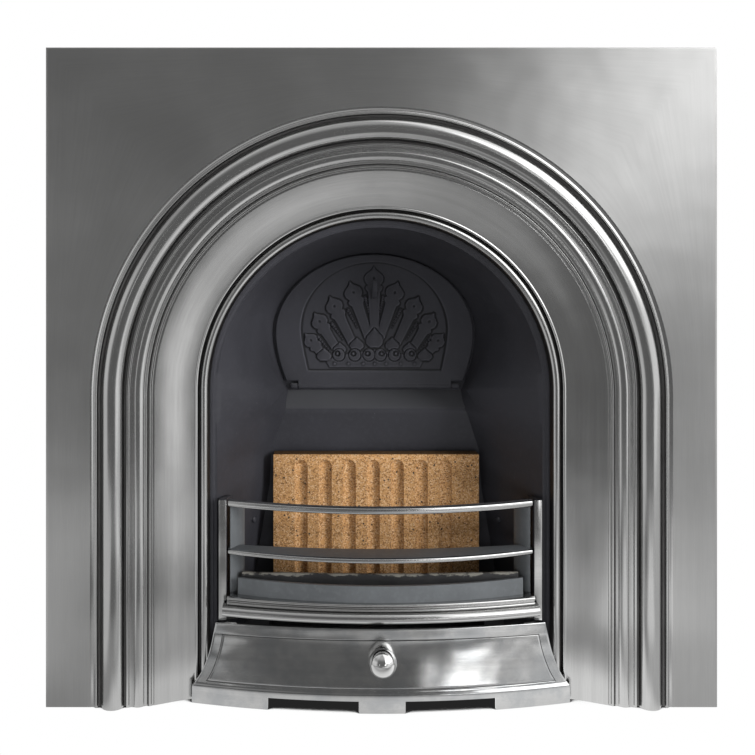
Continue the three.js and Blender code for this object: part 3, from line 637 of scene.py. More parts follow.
def raw_casting(name, colour):
    """Sand-cast iron as it left the mould, with a trace of rust."""
    finish = Finish(name)
    sand = finish.noise(520, 4.0, 0.65)
    rust = finish.spread(finish.noise(23.0, 6.0, 0.7), 0.56, 0.74, 0.0, 0.5)
    finish.mottled(finish.noise(11.0, 5.0, 0.6), colour, 0.75, 1.25)
    finish.coat(rust, (0.13, 0.065, 0.035))
    finish.bump(sand, 0.5, 0.0007)
    finish.bump(finish.noise(70, 3.0, 0.5), 0.25, 0.003)
    return finish.done(Metallic=0.35, Roughness=finish.spread(sand, 0.3, 0.7, 0.55, 0.78))


def grate_iron(name, colour, edge_height):
    """Blackened grate iron. The top of its rim is chipped back to a paler crust."""
    finish = Finish(name)
    cloud = finish.noise(14.0, 5.0, 0.6)
    height = finish.parts(finish.place)[2]
    above = finish.spread(height, edge_height - 0.012, edge_height, 0.0, 1.0, "LINEAR")
    chip = finish.noise(48.0, 6.0, 0.7, finish.stretched((1, 1, 2.2)))
    broken = finish.spread(finish.math("MULTIPLY_ADD", above, 0.42, chip), 0.80, 0.88)
    crust = finish.mix(cloud, rgba((0.11, 0.105, 0.09)), rgba((0.30, 0.29, 0.26)))
    finish.mottled(cloud, colour, 0.6, 1.3)
    finish.tint = finish.mix(broken, finish.tint, crust)
    finish.bump(finish.noise(420, 4.0, 0.65), 0.45, 0.0006)
    finish.bump(broken, 0.4, 0.0008)
    return finish.done(Metallic=0.25, Roughness=finish.spread(cloud, 0.3, 0.7, 0.5, 0.72))


def fired_clay(name, colour):
    """Buff fireclay full of dark and pale grog, darker on what faces up."""
    finish = Finish(name)
    sand = finish.noise(900, 2.0, 0.7)
    grains, stones = finish.cells(620), finish.cells(150)
    grain, stone = (
        finish.add("ShaderNodeSeparateColor", {0: found["Color"]}).outputs[0]
        for found in (grains, stones)
    )
    large = finish.times(
        finish.spread(stones["Distance"], 0.16, 0.30, 1.0, 0.0),
        finish.math("GREATER_THAN", stone, 0.86),
    )
    # Darker brown on the faces that look up.
    dark_top = finish.spread(finish.facing_up(), 0.55, 0.9, 0.0, 0.8)
    finish.mottled(finish.noise(10.0, 4.0, 0.6), colour, 0.9, 1.08)
    finish.coat(finish.spread(grain, 0.74, 0.86, 0.0, 0.65), (0.70, 0.50, 0.31))
    finish.coat(finish.spread(grain, 0.29, 0.14, 0.0, 0.82), (0.17, 0.085, 0.038))
    finish.coat(finish.spread(sand, 0.5, 0.75, 0.0, 0.4), colour, 0.5)
    finish.coat(finish.times(large, 0.92), (0.03, 0.028, 0.03))
    finish.coat(dark_top, (0.06, 0.035, 0.02))
    finish.bump(sand, 0.5, 0.0006)
    finish.bump(finish.minus(1.0, large), 0.5, 0.0008)
    return finish.done(Metallic=0.0, Roughness=0.92, Specular_IOR_Level=0.2)


def zinc_plate(name):
    """Bright zinc plating with its grain."""
    finish = Finish(name)
    grain = finish.noise(240, 3.0, 0.6)
    finish.tint = finish.mix(grain, rgba((0.36, 0.36, 0.35)), rgba((0.56, 0.56, 0.55)))
    finish.bump(grain, 0.15, 0.0003)
    return finish.done(Metallic=1.0, Roughness=finish.spread(grain, 0.3, 0.7, 0.3, 0.48))


FINISHES = {}


def make_finishes(colours):
    """Every finish of the fireplace, by the name of what it is on."""
    cast = {"along": ("run", "girth"), "recess": "recess"}
    FINISHES.update({
        "plate": polished_iron(
            "ground_plate", colours.iron, 0.34, 0.14, brushed=0.7, waves=0.0011, streaks=0.14,
            **cast,
        ),
        "moulding": polished_iron(
            "polished_moulding", colours.iron, 0.19, 0.03, waves=0.0009, **cast
        ),
        "bar": polished_iron("polished_bar", colours.iron, 0.20, 0.08),
        "cover": polished_iron(
            "polished_cover", colours.iron, 0.15, 0.05, recess="recess", waves=0.0034,
            blotches=0.4,
        ),
        "knob": polished_iron("polished_knob", rgba(colours.iron, 1.25)[:3], 0.07, 0.02),
        "black": black_paint("black_paint", colours.black),
        "relief": black_paint("relief_paint", colours.black, relief=True),
        "grey": black_paint("grey_paint", colours.grey, 0.5, settled_dust=0.0),
        "raw": raw_casting("raw_casting", colours.raw),
        "grate": grate_iron("grate_iron", (0.03, 0.03, 0.031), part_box("bottom_grate")[1].z),
        "clay": fired_clay("fired_clay", colours.clay),
        "zinc": zinc_plate("zinc_plate"),
        "sheet": raw_casting("blackened_sheet", (0.05, 0.05, 0.052)),
    })


def clad(piece, *names):
    """Gives a piece its finishes, by name."""
    piece.data.materials.clear()
    for name in names:
        piece.data.materials.append(FINISHES[name])
    return piece


# ------------------------------------------------------------------ the polished face

GRAIN_RADIUS = 0.35  # the radius, in metres, at which the grain keeps its scale round the arch


def arch_wrap_tree():
    """Lays a strip of (radius, depth) rows along leg, arch and leg."""
    shape = ShapeTree("arch_wrap")
    face = shape.size("Face Depth", FACE_Y)
    spring = shape.size("Spring Height", SPRING * MM)
    stilt = shape.size("Stilt", STILT * MM)
    outer = shape.size("Outer Radius", BAND_RADIUS * MM)
    inner = shape.size("Inner Radius", BEAD_RADIUS * MM)
    radius, turn, rise = (shape.attribute(key) for key in ("radius", "turn", "rise"))
    lifted = shape.minus(outer, radius)
    lifted = shape.math("DIVIDE", lifted, shape.minus(outer, inner), clamp=True)
    height = shape.math("MULTIPLY_ADD", lifted, stilt, spring)
    height = shape.times(height, rise)
    over = shape.times(radius, shape.math("SINE", turn))
    across = shape.times(radius, shape.math("COSINE", turn))
    depth = shape.plus(face, shape.attribute("depth"))
    moved = shape.moved(shape.point(shape.times(across, -1.0), depth, shape.plus(height, over)))
    unseen = shape.math("GREATER_THAN", shape.attribute("unseen"), 0.5)
    flat = shape.math("GREATER_THAN", shape.attribute("flat"), 0.5)
    return shape.close(
        moved, ("Material", None), ("Flat Material", flat), ("Back Material", unseen)
    )


def arch_path(steps, leg_steps, marks=()):
    """Turn and rise of each station up the left leg, over the arch and down the right leg."""
    leg = np.linspace(0, 1, leg_steps)[:-1]
    turn = np.unique(np.concatenate([np.linspace(0, math.pi, steps + 1), np.asarray(marks)]))
    return (
        np.concatenate([np.zeros_like(leg), turn, np.full_like(leg, math.pi)]),
        np.concatenate([leg, np.ones_like(turn), leg[::-1]]),
    )


def edge_radius(turn, inset):
    """How far the plate's outline lies from the arch's centre, at each turn."""
    side = (PLATE_HALF - inset) / np.maximum(np.abs(np.cos(turn)), 1e-9)
    top = (PLATE_TOP - inset - SPRING) / np.maximum(np.sin(turn), 1e-9)
    return np.minimum(side, top)


def corner_turn(inset):
    """The turn at which the plate's corner lies, set in by some millimetres."""
    return math.atan2(PLATE_TOP - inset - SPRING, PLATE_HALF - inset)


def wrapped_strip(name, rows, turn, rise, face, finishes):
    """A closed strip of rows on the arch. A row has a radius, by station or for all of them,
    and a depth, and may say that it is unseen, flat or recessed."""
    shape = (len(turn), len(rows))

    def by_station(values):
        return np.broadcast_to(np.asarray(values)[:, None], shape).ravel()

    def by_row(values):
        return np.broadcast_to(np.asarray(values)[None, :], shape).ravel()

    def travelled(*steps):
        return np.concatenate([[0], np.cumsum(np.hypot(*steps))])

    radius = np.stack([np.broadcast_to(row["radius"], len(turn)) for row in rows], 1) * MM
    depth = np.array([row["depth"] for row in rows]) * MM
    girth = travelled(np.diff(radius[0]), np.diff(depth))
    run = travelled(np.diff(rise) * SPRING * MM, np.diff(turn) * GRAIN_RADIUS)
    attributes = {
        "radius": radius.ravel(), "depth": by_row(depth),
        "turn": by_station(turn), "rise": by_station(rise),
        "run": by_station(run), "girth": by_row(girth),
    }
    for key in ("unseen", "flat", "recess"):
        attributes[key] = by_row([row.get(key, 0.0) for row in rows])
    start = np.stack([by_station(run), by_row(girth), np.zeros(shape).ravel()], -1)
    strip = piece_at(name, start, capped(*shape), attributes)
    strip = run_tree(
        strip, arch_wrap_tree(), face_depth=FACE_Y, spring_height=face.spring_height,
        stilt=face.stilt, material=FINISHES[finishes[0]], flat_material=FINISHES[finishes[1]],
        back_material=FINISHES[finishes[2]],
    )
    return smooth_finish(strip, 34)


def moulding_front(edge_round):
    """Radius and depth of the face's mouldings, from the inner bead out to the groove."""
    face = [
        [251.6, 40.0], [251.6, 35.6], *rolled([252.2, 34], [264.6, 32.5], 8, 16),
        [265.2, 34.6], [267.4, 34.2], [268.2, 27.8], [270.4, 26.7], [272.4, 27.8],
        [300, 17.6], [BAND_RADIUS, 5.6], [328.8, 7.4], [331.4, 6.8], [332.4, 3.2],
        [334.6, 2.8], [335.4, 7.4], [336.9, 7.2], [337.8, 4.9],
        *rolled([341.8, 4], [355.5, 1.2], 4, 14),
        [362.2, 0.9], [363.4, -1.7], [366.3, -1.9], [367.2, 3.4], [370.6, 3.4],
        *rolled([371.5, 0.2], [401, 0.4], 12, 22),
        [404.4, 3.0], [407.4, 2.2], *rolled([408, -0.6], [411.6, -0.6], 2.2, 8),
        [411.9, 0.6], [414, 1.8], [416.2, 0.6], [GROOVE_RADIUS - 1.2, 0.0],
    ]
    return rounded(face, edge_round)


def crevices(profile):
    """How deep each point of a profile lies between higher ground on both sides, 0 to 1.

    The higher ground is within reach, and a depth of full millimetres counts as 1.
    """
    reach, full = 8.0, 7.0
    radius, depth = profile[:, 0], profile[:, 1]
    out = np.zeros(len(profile))
    for i, (r, d) in enumerate(zip(radius, depth)):
        inner = depth[(radius <= r) & (radius >= r - reach)].min()
        outer = depth[(radius >= r) & (radius <= r + reach)].min()
        out[i] = np.clip((d - max(inner, outer)) / full, 0, 1)
    return out


def build_face(face):
    """The fascia casting: plate, turned-back rim and arch mouldings in one."""
    corners = [corner_turn(inset) for inset in (0.0, RIM_WIDTH, 1.2)]
    marks = corners + [math.pi - corner for corner in corners]
    turn, rise = arch_path(face.arch_steps, 26, marks)
    profile = moulding_front(face.edge_round / MM)
    # Painted shade: the mouldings are darker in their crevices and over the inner edge of the bead,
    # so that it shows dark rather than mirroring the fire brick.
    inner_edge = np.clip((255.2 - profile[:, 0]) / 1.8, 0, 1)
    painted_moulding_shade = np.maximum(crevices(profile), inner_edge)
    rows = [
        {"radius": r, "depth": d, "recess": h} for (r, d), h in zip(profile, painted_moulding_shade)
    ]
    for share in (0.0, 0.25, 0.5, 0.75, 1.0):
        rows.append({"radius": (1 - share) * GROOVE_RADIUS + share * edge_radius(turn, 4),
                     "depth": 0.0, "flat": 1.0})
    for kind, places in (
        ("flat", ((1.2, 0.0), (0.35, 0.35), (0.0, 1.2), (0.0, RIM_BACK - 1))),
        ("unseen", ((1.0, RIM_BACK), (RIM_WIDTH - 1, RIM_BACK), (RIM_WIDTH, RIM_BACK - 1),
                    (RIM_WIDTH, 9.5), (RIM_WIDTH + 1.5, 8.0))),
    ):
        rows += [{"radius": edge_radius(turn, inset), "depth": depth, kind: 1.0}
                 for inset, depth in places]
    back = rounded([
        (GROOVE_RADIUS + 4, 8.0), (410, 10), (400, 8), (393, 0.8), (386, -2.5), (379, 0.8),
        (372, 8), (366, 11), (326, 15.5), (276, 37), (268, 42.5), (253, 44), (251.6, 42.6),
    ], 3.0)
    rows += [{"radius": r, "depth": d, "unseen": 1.0} for r, d in back]
    shells = [wrapped_strip("fascia", rows, turn, rise, face, ("moulding", "plate", "raw"))]
    bosses = [(LINER_BOSS, place) for place in bolt_places()]
    bosses += [(CLEAT_BOSS, place) for place in CLEAT_BOLTS]
    for i, (profile, (x, z)) in enumerate(bosses):
        shells.append(shell(f"boss_{i}", *lathe(profile, 28, (x, 0, z)), 32, "raw"))
    return joined_pieces("fascia", shells)


def bolt_places():
    """Where the firebox is bolted to the back of the mouldings."""
    radius = 285.0
    places = [(side * radius, z) for z in (90.0, 330.0) for side in (-1, 1)]
    spring = SPRING + STILT * (BAND_RADIUS - radius) / (BAND_RADIUS - BEAD_RADIUS)
    for degrees in (45, 135):
        turn = math.radians(degrees)
        places.append((radius * math.cos(turn), spring + radius * math.sin(turn)))
    return places


# ------------------------------------------------------------------ the firebox

def flap_half(height):
    """Half width of the damper below its waist."""
    below = (FLAP_WAIST - height) / FLAP_WAIST
    return FLAP_HALF - (FLAP_HALF - FLAP_FOOT) * below ** 1.75


def seat_half(grow, count):
    """Half outline of the damper's seat: half width and height, from foot to crown."""
    foot = np.linspace(0, FLAP_WAIST, 14, endpoint=False)
    turn = np.linspace(0, math.pi / 2, count)
    crown = FLAP_WAIST + (FLAP_CROWN + grow) * np.sin(turn)
    return np.concatenate([
        np.stack([flap_half(foot) + grow, foot], -1),
        np.stack([(FLAP_HALF + grow) * np.cos(turn), crown], -1),
    ])


def leaned(x, depth, height):
    """From the damper's own leaning frame to the fireplace's, all in millimetres."""
    return np.stack([
        x,
        SEAT_DEPTH + depth * math.cos(LEAN) + height * math.sin(LEAN),
        SEAT_HEIGHT - depth * math.sin(LEAN) + height * math.cos(LEAN),
    ], -1)


def cheek_sections(side):
    """Front and back points of one cheek and its half of the hood, from the floor to the crown.

    The third value says how soon the wall, seen from above, bends in towards the damper.
    """
    out = []
    front_depth = LINER_FRONT + 1.7
    for z in np.linspace(0, BACK_LEVELS[-2, 0], 60):
        half = np.interp(z, BACK_LEVELS[:, 0], BACK_LEVELS[:, 1])
        depth = np.interp(z, BACK_LEVELS[:, 0], BACK_LEVELS[:, 2]) + 4
        out.append(((LINER_RADIUS, front_depth, z), (half, depth, z), 0.0))
    seat = seat_half(3.5, 72)
    back = leaned(seat[:, 0], 4, seat[:, 1])
    degrees = np.concatenate([np.linspace(0, 15, 14, endpoint=False), np.linspace(15, 90, 72)])
    spring = SPRING + STILT
    for i, (point, turn) in enumerate(zip(back, np.radians(degrees))):
        x, z = LINER_RADIUS * math.cos(turn), spring + LINER_RADIUS * math.sin(turn)
        out.append(((x, front_depth, z), tuple(point), max(0.0, 0.9 - 0.9 * i / 26)))
    front, back, bent = (np.array(part, float) for part in zip(*out))
    front[:, 0] *= side
    back[:, 0] *= side
    return front, back, bent


def build_walls():
    """The cheeks and the hood, as one wall with an inner and an outer skin."""
    share = np.linspace(0, 1, 22)
    bend = 1 - (1 - np.minimum(1, share / 0.72)) ** 1.4
    halves = []
    for side in (-1, 1):
        front, back, bent = cheek_sections(side)
        outward = np.zeros_like(front)
        lean = front - np.array([0, 0, SPRING + STILT])
        above = front[:, 2] > SPRING + STILT
        outward[:, 0] = side
        outward[above] = lean[above] * [1, 0, 1] / LINER_RADIUS
        way = share[None, :] * (1 - bent[:, None]) + bend[None, :] * bent[:, None]
        inner = front[:, None, :] + (back - front)[:, None, :] * share[None, :, None]
        inner[:, :, 0] = front[:, None, 0] + (back - front)[:, None, 0] * way
        outer = inner + outward[:, None, :] * WALL
        halves.append(np.concatenate([inner, outer[:, ::-1]], 1))
    left, right = halves
    rings = np.concatenate([left, right[::-1][1:]], 0)
    return shell("walls", *ringed(rings), 50, "black", "raw")


def build_flange(face):
    """The flange round the mouth of the firebox, with a bead along its inner edge."""
    turn, rise = arch_path(face.arch_steps, 20)
    profile = rounded([
        (243.6, 47.5), (243.6, 46.2), (246.6, 45.6), (247.4, 44.3), (305, 44.3), (305, 51.3),
        (246, 51.3), (243.6, 50.5),
    ], 0.8, 2, loop=True)
    rows = [{"radius": r, "depth": d, "unseen": float(r > 262)} for r, d in profile]
    return wrapped_strip("flange", rows, turn, rise, face, ("black", "black", "raw"))


def build_back():
    """The back of the firebox, leaning forward above the brick and back again as a shelf."""
    rings = []
    for z, depth, half in rounded(BACK_LEVELS[:, [0, 2, 1]], 7.0, 4):
        wide, behind = half + 3, depth + WALL + 1
        rings.append([(-wide, depth, z), (wide, depth, z), (wide, behind, z), (-wide, behind, z)])
    return shell("back_wall", *ringed(rings), 28, "black", "raw")


def build_seat():
    """The frame that the damper shuts against."""
    opening, thick = 19.0, 8.0
    outer, inner = seat_half(7.5, 60), seat_half(-14, 60)
    outer[0, 1] = -3
    inner = inner[inner[:, 1] > opening]
    inner = np.concatenate([[(inner[0, 0], opening)], inner])
    outlines = []
    for half in (outer, inner):
        outline = np.concatenate([half, half[::-1][1:] * [-1, 1]])
        share = np.linspace(0, 1, len(outline))
        outlines.append([np.interp(np.linspace(0, 1, 180), share, outline[:, k]) for k in (0, 1)])
    (outer_x, outer_h), (inner_x, inner_h) = outlines
    seat = np.stack([
        leaned(outer_x, 0.0, outer_h), leaned(inner_x, 0.0, inner_h),
        leaned(inner_x, thick, inner_h), leaned(outer_x, thick, outer_h),
    ], 1)
    faces = lattice(len(seat), 4)
    last = (len(seat) - 1) * 4
    faces += [[last + k, last + (k + 1) % 4, (k + 1) % 4, k] for k in range(4)]
    return shell("seat", seat.reshape(-1, 3), faces, 30, "black")


def build_firebox(face):
    """The liner casting: flange, cheeks and hood, back, damper seat and grate ledges."""
    shells = [build_walls(), build_flange(face), build_back(), build_seat()]
    for plan in (
        [(-235, 66), (-200, 66), (-186, 170), (-192, 170)],
        [(200, 66), (235, 66), (192, 170), (186, 170)],
        [(-190, 138), (190, 138), (190, 185), (-190, 185)],
    ):
        ledge = shell("ledge", *ringed(levels_of(plan, (108.0, 116.0))), 32, "black")
        shells.append(bevelled(ledge, 0.8))
    firebox = joined_pieces("firebox", shells)
    mark_outside(firebox)
    return firebox


def mark_outside(firebox):
    """Raw iron on every face of the liner that looks away from the fire."""
    mesh = firebox.data
    raw = [material.name for material in mesh.materials].index("raw_casting")
    fire_y, low, high = FACE_Y + 0.09, 0.1, 0.45
    flange_back = FACE_Y + 0.052
    for polygon in mesh.polygons:
        centre = polygon.center
        away = centre - Vector((0, fire_y, min(max(centre.z, low), high)))
        if centre.y > flange_back and polygon.normal.dot(away.normalized()) > 0.12:
            polygon.material_index = raw


# ------------------------------------------------------------------ damper

FLAP_FACE, FLAP_BACK = -9.3, -0.3
PANEL_SINK = 2.5
# Root and tip of each leaf of the fan on one side, with its size. The first is the middle one.
LEAVES = (
    ((0, 99), (0, 207), 1.0),
    ((9, 84), (41.2, 181), 0.95),
    ((36, 75), (75.2, 155.8), 0.90),
    ((61, 64), (101.2, 127.8), 0.84),
    ((84.5, 56), (116.2, 93), 0.74),
)
# Top and foot of each beaded strip between two leaves.
STRIPS = (
    ((14.8, 155), (9.4, 128)),
    ((43.6, 133), (29.4, 103)),
    ((70.4, 110), (53.4, 83)),
    ((93.8, 88), (74.4, 63)),
)
# Middle, foot, width and height of each bud in front of the leaves' roots.
BUDS = ((0, 71, 28.5, 32), (29.5, 67, 23, 19), (58, 61, 20.5, 17), (84, 49, 24, 19))
SCROLLS = (9.4, 33, 59.5)
SCROLL_HEIGHT = 57.0
DOTS = (0, 19, 43.5, 66.5)
DOT_HEIGHT = 42.5
# Half width of a leaf at each distance back from its tip.
LEAF_BACK = np.array([0, 3, 7, 11, 15, 20, 26, 30, 32.5, 35, 38, 41, 44, 50, 150])
LEAF_HALF = np.array([
    0, 1.5, 4.4, 9.6, 14.2, 16.2, 15.4, 12.6, 11.0, 13.8, 14.4, 12.8, 10.4, 9.8, 5.6,
])
# Half width of a bud at each share of its height, as a share of its own half width.
BUD_RISE = np.array([0, 0.06, 0.2, 0.38, 0.55, 0.7, 0.82, 0.92, 1.0])
BUD_HALF = np.array([0.62, 0.82, 0.98, 1.0, 0.86, 0.55, 0.32, 0.14, 0.0])


def soft_inside(distance, edge=1.0):
    """1 inside, 0 outside, with a soft edge."""
    t = np.clip(0.5 - distance / edge, 0, 1)
    return t * t * (3 - 2 * t)


def fan_relief(x, h, relief):
    """How far the fan stands out of the sunk panel, in millimetres, and where its channels are."""
    x = np.abs(x)
    out = np.zeros_like(x)
    channel = np.zeros_like(x)

    def along(start, end):
        """Distance back from the end of a line, and to its side, with the line's length."""
        way = np.array(end, float) - np.array(start, float)
        length = np.hypot(*way)
        way /= length
        back = (end[0] - x) * way[0] + (end[1] - h) * way[1]
        side = np.abs((x - end[0]) * way[1] - (h - end[1]) * way[0])
        return back, side, length

    for top, foot in STRIPS:
        back, side, length = along(foot, top)
        half = 4.8 - 2.0 * np.clip(back / length, 0, 1)
        ahead = np.where(back < 0, -back, np.where(back > length, back - length, 0))
        channel = np.maximum(channel, soft_inside(np.hypot(side, ahead) - half))
    for root, tip, size in reversed(LEAVES):
        back, side, length = along(root, tip)
        half = np.interp(back / size, LEAF_BACK, LEAF_HALF) * size
        crown = 1 - 0.25 * np.clip(side / np.maximum(half, 1), 0, 1) ** 2
        inside = soft_inside(side - half) * soft_inside(-back) * soft_inside(back - length)
        body = relief * 0.84 * inside * crown
        dimple = soft_inside(np.hypot(side * 1.3, back - 21 * size) - 2.4, 1.6)
        out = np.maximum(out, body) - 1.5 * dimple * inside
    ground = (
        soft_inside(x - 75 - (h - 37) * 0.55) * soft_inside(37 - h)
        * soft_inside(h - 66 + 0.16 * x, 3.0)
    )
    out = np.maximum(out, 0.5 * relief * ground)
    for centre, foot, wide, tall in BUDS:
        rise = (h - foot) / tall
        half = wide / 2 * np.interp(rise, BUD_RISE, BUD_HALF)
        above = soft_inside(h - foot - tall) * soft_inside(foot - 1.5 - h)
        ring = soft_inside(np.abs(x - centre) - half - 2.2, 1.4) * above * (rise > 0.1)
        inside = soft_inside(np.abs(x - centre) - half) * above
        crown = 1 - 0.35 * np.clip(np.abs(x - centre) / np.maximum(half, 1), 0, 1) ** 2
        out = out * (1 - 0.75 * ring)
        out = np.maximum(out, relief * inside * crown)
    for centre in SCROLLS:
        ring = np.hypot(x - centre, h - SCROLL_HEIGHT)
        hollow = np.hypot(x - centre - 2.4, h - SCROLL_HEIGHT - 2.2)
        body = soft_inside(ring - 9.6)
        out = out * (1 - 0.8 * soft_inside(ring - 11.2) * (1 - body))
        out = np.maximum(out, relief * 0.95 * body * (1 - 0.3 * np.clip(ring / 9.6, 0, 1) ** 2))
        out = out * (1 - 0.85 * soft_inside(hollow - 5.2))
        out = out + 0.75 * relief * soft_inside(hollow - 2.1)
    for centre in DOTS:
        out = out + soft_inside(np.hypot(x - centre, h - DOT_HEIGHT) - 2.0)
    return out, channel * np.clip(1 - 3 * out / relief, 0, 1)


def relief_light_and_shade(height):
    """Where a height field lies in a hollow and where it stands proud, each 0 to 1: how much
    painted shade and painted highlight each place gets.
    """
    reach = 3
    steps = [(r, c) for r in range(-reach, reach + 1) for c in range(-reach, reach + 1)
             if 0 < math.hypot(r, c) <= reach]
    around = np.stack([np.roll(height, step, (0, 1)) for step in steps])
    hollow = np.clip((around.max(0) - height) / 1.9, 0, 1)
    proud = np.clip((height - around.mean(0)) / 0.9, 0, 1)
    return hollow * (1 - proud), proud


def panel_distance(x, h):
    """Signed distance to the edge of the sunk panel, negative inside it."""
    foot, half_foot, waist, half, crown = 31.0, 110.0, 100.0, 122.6, 113.0
    x = np.abs(x)
    rise = np.clip((h - foot) / (waist - foot), 0, 1)
    side = x - (half - (half - half_foot) * (1 - rise) ** 1.4)
    over = (np.hypot(x / half, (h - waist) / crown) - 1) * 116
    return np.where(h > waist, over, np.maximum(side, foot - h))


def flap_plate(fan):
    """The D plate of the damper, with its sunk panel and the fan in relief."""
    last = FLAP_WAIST + FLAP_CROWN
    low = np.arange(15.0, FLAP_WAIST, 0.95)
    turn = np.linspace(0, math.pi / 2, 190)
    height = np.concatenate([low, FLAP_WAIST + FLAP_CROWN * np.sin(turn)])
    half = np.concatenate([flap_half(low), FLAP_HALF * np.cos(turn)])
    half[-1] = 0.4
    x = half[:, None] * np.linspace(-1, 1, 331)[None, :]
    h = np.broadcast_to(height[:, None], x.shape)
    sunk = PANEL_SINK * soft_inside(panel_distance(x, h), 2.6)
    lift, channel = fan_relief(x, h, fan.relief / MM)
    lift = np.where(sunk > 0, lift, 0)
    # Painted shade in the fan's hollows and beaded channels, and a painted highlight on what stands
    # proud; the panel's edges get none.
    hollow, proud = relief_light_and_shade(lift - sunk)
    hollow = np.maximum(hollow, 0.8 * channel)
    edge = np.minimum(half[:, None] - np.abs(x), last - h)
    inner = np.clip(edge / 3 - 0.5, 0, 1)
    ease = 0.9 * np.clip(1 - edge / 1.6, 0, 1) ** 2
    shown = leaned(x, FLAP_FACE + sunk - lift + ease, h)
    rows, columns = x.shape
    base = rows * columns
    rim = (
        list(range(columns))
        + [r * columns + columns - 1 for r in range(1, rows)]
        + [(rows - 1) * columns + k for k in range(columns - 2, -1, -1)]
        + [r * columns for r in range(rows - 2, 0, -1)]
    )
    behind = leaned(x.ravel()[rim], FLAP_BACK, h.ravel()[rim])
    faces = lattice(rows, columns, loop=False)
    for i, here in enumerate(rim):
        after = (i + 1) % len(rim)
        faces.append([here, base + i, base + after, rim[after]])
    faces.append([base + i for i in range(len(rim))])
    blank = np.zeros(len(rim))
    plate = piece_from("flap", np.concatenate([shown.reshape(-1, 3), behind]), faces, {
        "hollow": np.concatenate([(hollow * inner).ravel(), blank]),
        "worn": np.concatenate([(proud * inner).ravel(), blank]),
    })
    return clad(smooth_finish(plate, 55), "relief")


def build_flap(fan):
    """The damper flap: its plate, the strip along its foot and the barrel that it turns on."""
    foot_profile = ((FLAP_FACE + 0.6, 7.0), (FLAP_FACE, 8.0), (FLAP_FACE, 15.4),
                    (FLAP_BACK, 15.4), (FLAP_BACK, 6.6))
    strip = [[leaned(side * 126.2, depth, height) for depth, height in foot_profile]
             for side in (-1, 1)]
    sides, pin_depth, pin_height = 24, -5.5, 6
    turn = np.linspace(0, 2 * math.pi, sides, endpoint=False)
    ends = [
        leaned(np.full(sides, x), pin_depth + radius * np.cos(turn),
               pin_height + radius * np.sin(turn))
        for x, radius in ((-126, 4.0), (-125.5, 4.5), (125.5, 4.5), (126, 4.0))
    ]
    shells = [flap_plate(fan)]
    for name, rings, angle in (("foot", strip, 30), ("barrel", ends, 40)):
        shells.append(shell(name, *ringed(rings), angle, "black"))
    return joined_pieces("flap", shells)


def bead_row_tree():
    """Beads along each edge of the mesh, from the largest at its start to the smallest."""
    shape = ShapeTree("bead_rows")
    count = shape.size("Bead Count", 7, "NodeSocketInt")
    largest = shape.size("Largest Bead", 0.0027)
    smallest = shape.size("Smallest Bead", 0.0013)
    rows = shape.add("GeometryNodeMeshToCurve", {"Mesh": shape.entry.outputs[0]}).outputs[0]
    rows = shape.add("GeometryNodeResampleCurve", {"Curve": rows, "Count": count}).outputs[0]
    share = shape.add("GeometryNodeSplineParameter").outputs["Factor"]
    radius = shape.spread(share, 0.0, 1.0, largest, smallest, "LINEAR")
    bead = shape.add(
        "GeometryNodeMeshUVSphere", {"Segments": 12, "Rings": 8, "Radius": 1.0}
    ).outputs["Mesh"]
    return shape.close(shape.copies(rows, bead, Scale=radius), ("Material", None))


def build_beads(fan):
    """The rows of beads between the fan's leaves."""
    depth = FLAP_FACE + PANEL_SINK - 0.28 * fan.relief / MM
    points, edges = [], []
    for side in (-1, 1):
        for (top_x, top_h), (foot_x, foot_h) in STRIPS:
            edges.append((len(points), len(points) + 1))
            points.append(leaned(side * top_x, depth, top_h - 1.5))
            points.append(leaned(side * foot_x, depth, foot_h + 1.0))
    beads = piece_from("fan_beads", points, [], edges=edges)
    run_tree(
        beads, bead_row_tree(), bead_count=fan.bead_count, largest_bead=fan.largest_bead,
        smallest_bead=fan.smallest_bead, material=FINISHES["black"],
    )
    return smooth_finish(beads, 60)


# ------------------------------------------------------------------ cuts that repeat

def repeat_cut_tree():
    """Cuts a row of copies of one cutter out of the piece."""
    shape = ShapeTree("repeat_cut")
    count = shape.size("Count", 7, "NodeSocketInt")
    pitch = shape.size("Pitch", 0.03)
    cutter = shape.size("Cutter", None, "NodeSocketObject")
    span = shape.times(pitch, shape.minus(count, 1.0))
    row = shape.add("GeometryNodeMeshLine", {
        "Count": count, "Start Location": shape.point(shape.times(span, -0.5)),
        "Offset": shape.point(pitch),
    }).outputs[0]
    tool = shape.add("GeometryNodeObjectInfo", {"Object": cutter}).outputs["Geometry"]
    tools = shape.copies(row, tool)
    tools = shape.add("GeometryNodeRealizeInstances", {"Geometry": tools}).outputs[0]
    cut = shape.add(
        "GeometryNodeMeshBoolean",
        {"Mesh 1": shape.entry.outputs[0], "Mesh 2": tools}, operation="DIFFERENCE", solver="EXACT",
    ).outputs[0]
    return shape.close(cut, ("Material", None))


def cut_row(piece, cutter, count, pitch, material):
    """Cuts a row of cutters out of a piece, and removes the cutter."""
    run_tree(piece, repeat_cut_tree(), count=count, pitch=pitch, cutter=cutter,
             material=FINISHES[material])
    bpy.data.objects.remove(cutter)
    return piece


FLUTE_RISE = 209.7
# How far in each section of a flute lies, as a share of its depth, and how wide it still is.
FLUTE_SECTION = (
    (-0.57, 1.0), (0.0, 1.0), (0.4, 0.93), (0.66, 0.78), (0.85, 0.56), (0.96, 0.3), (1.0, 0.08),
)


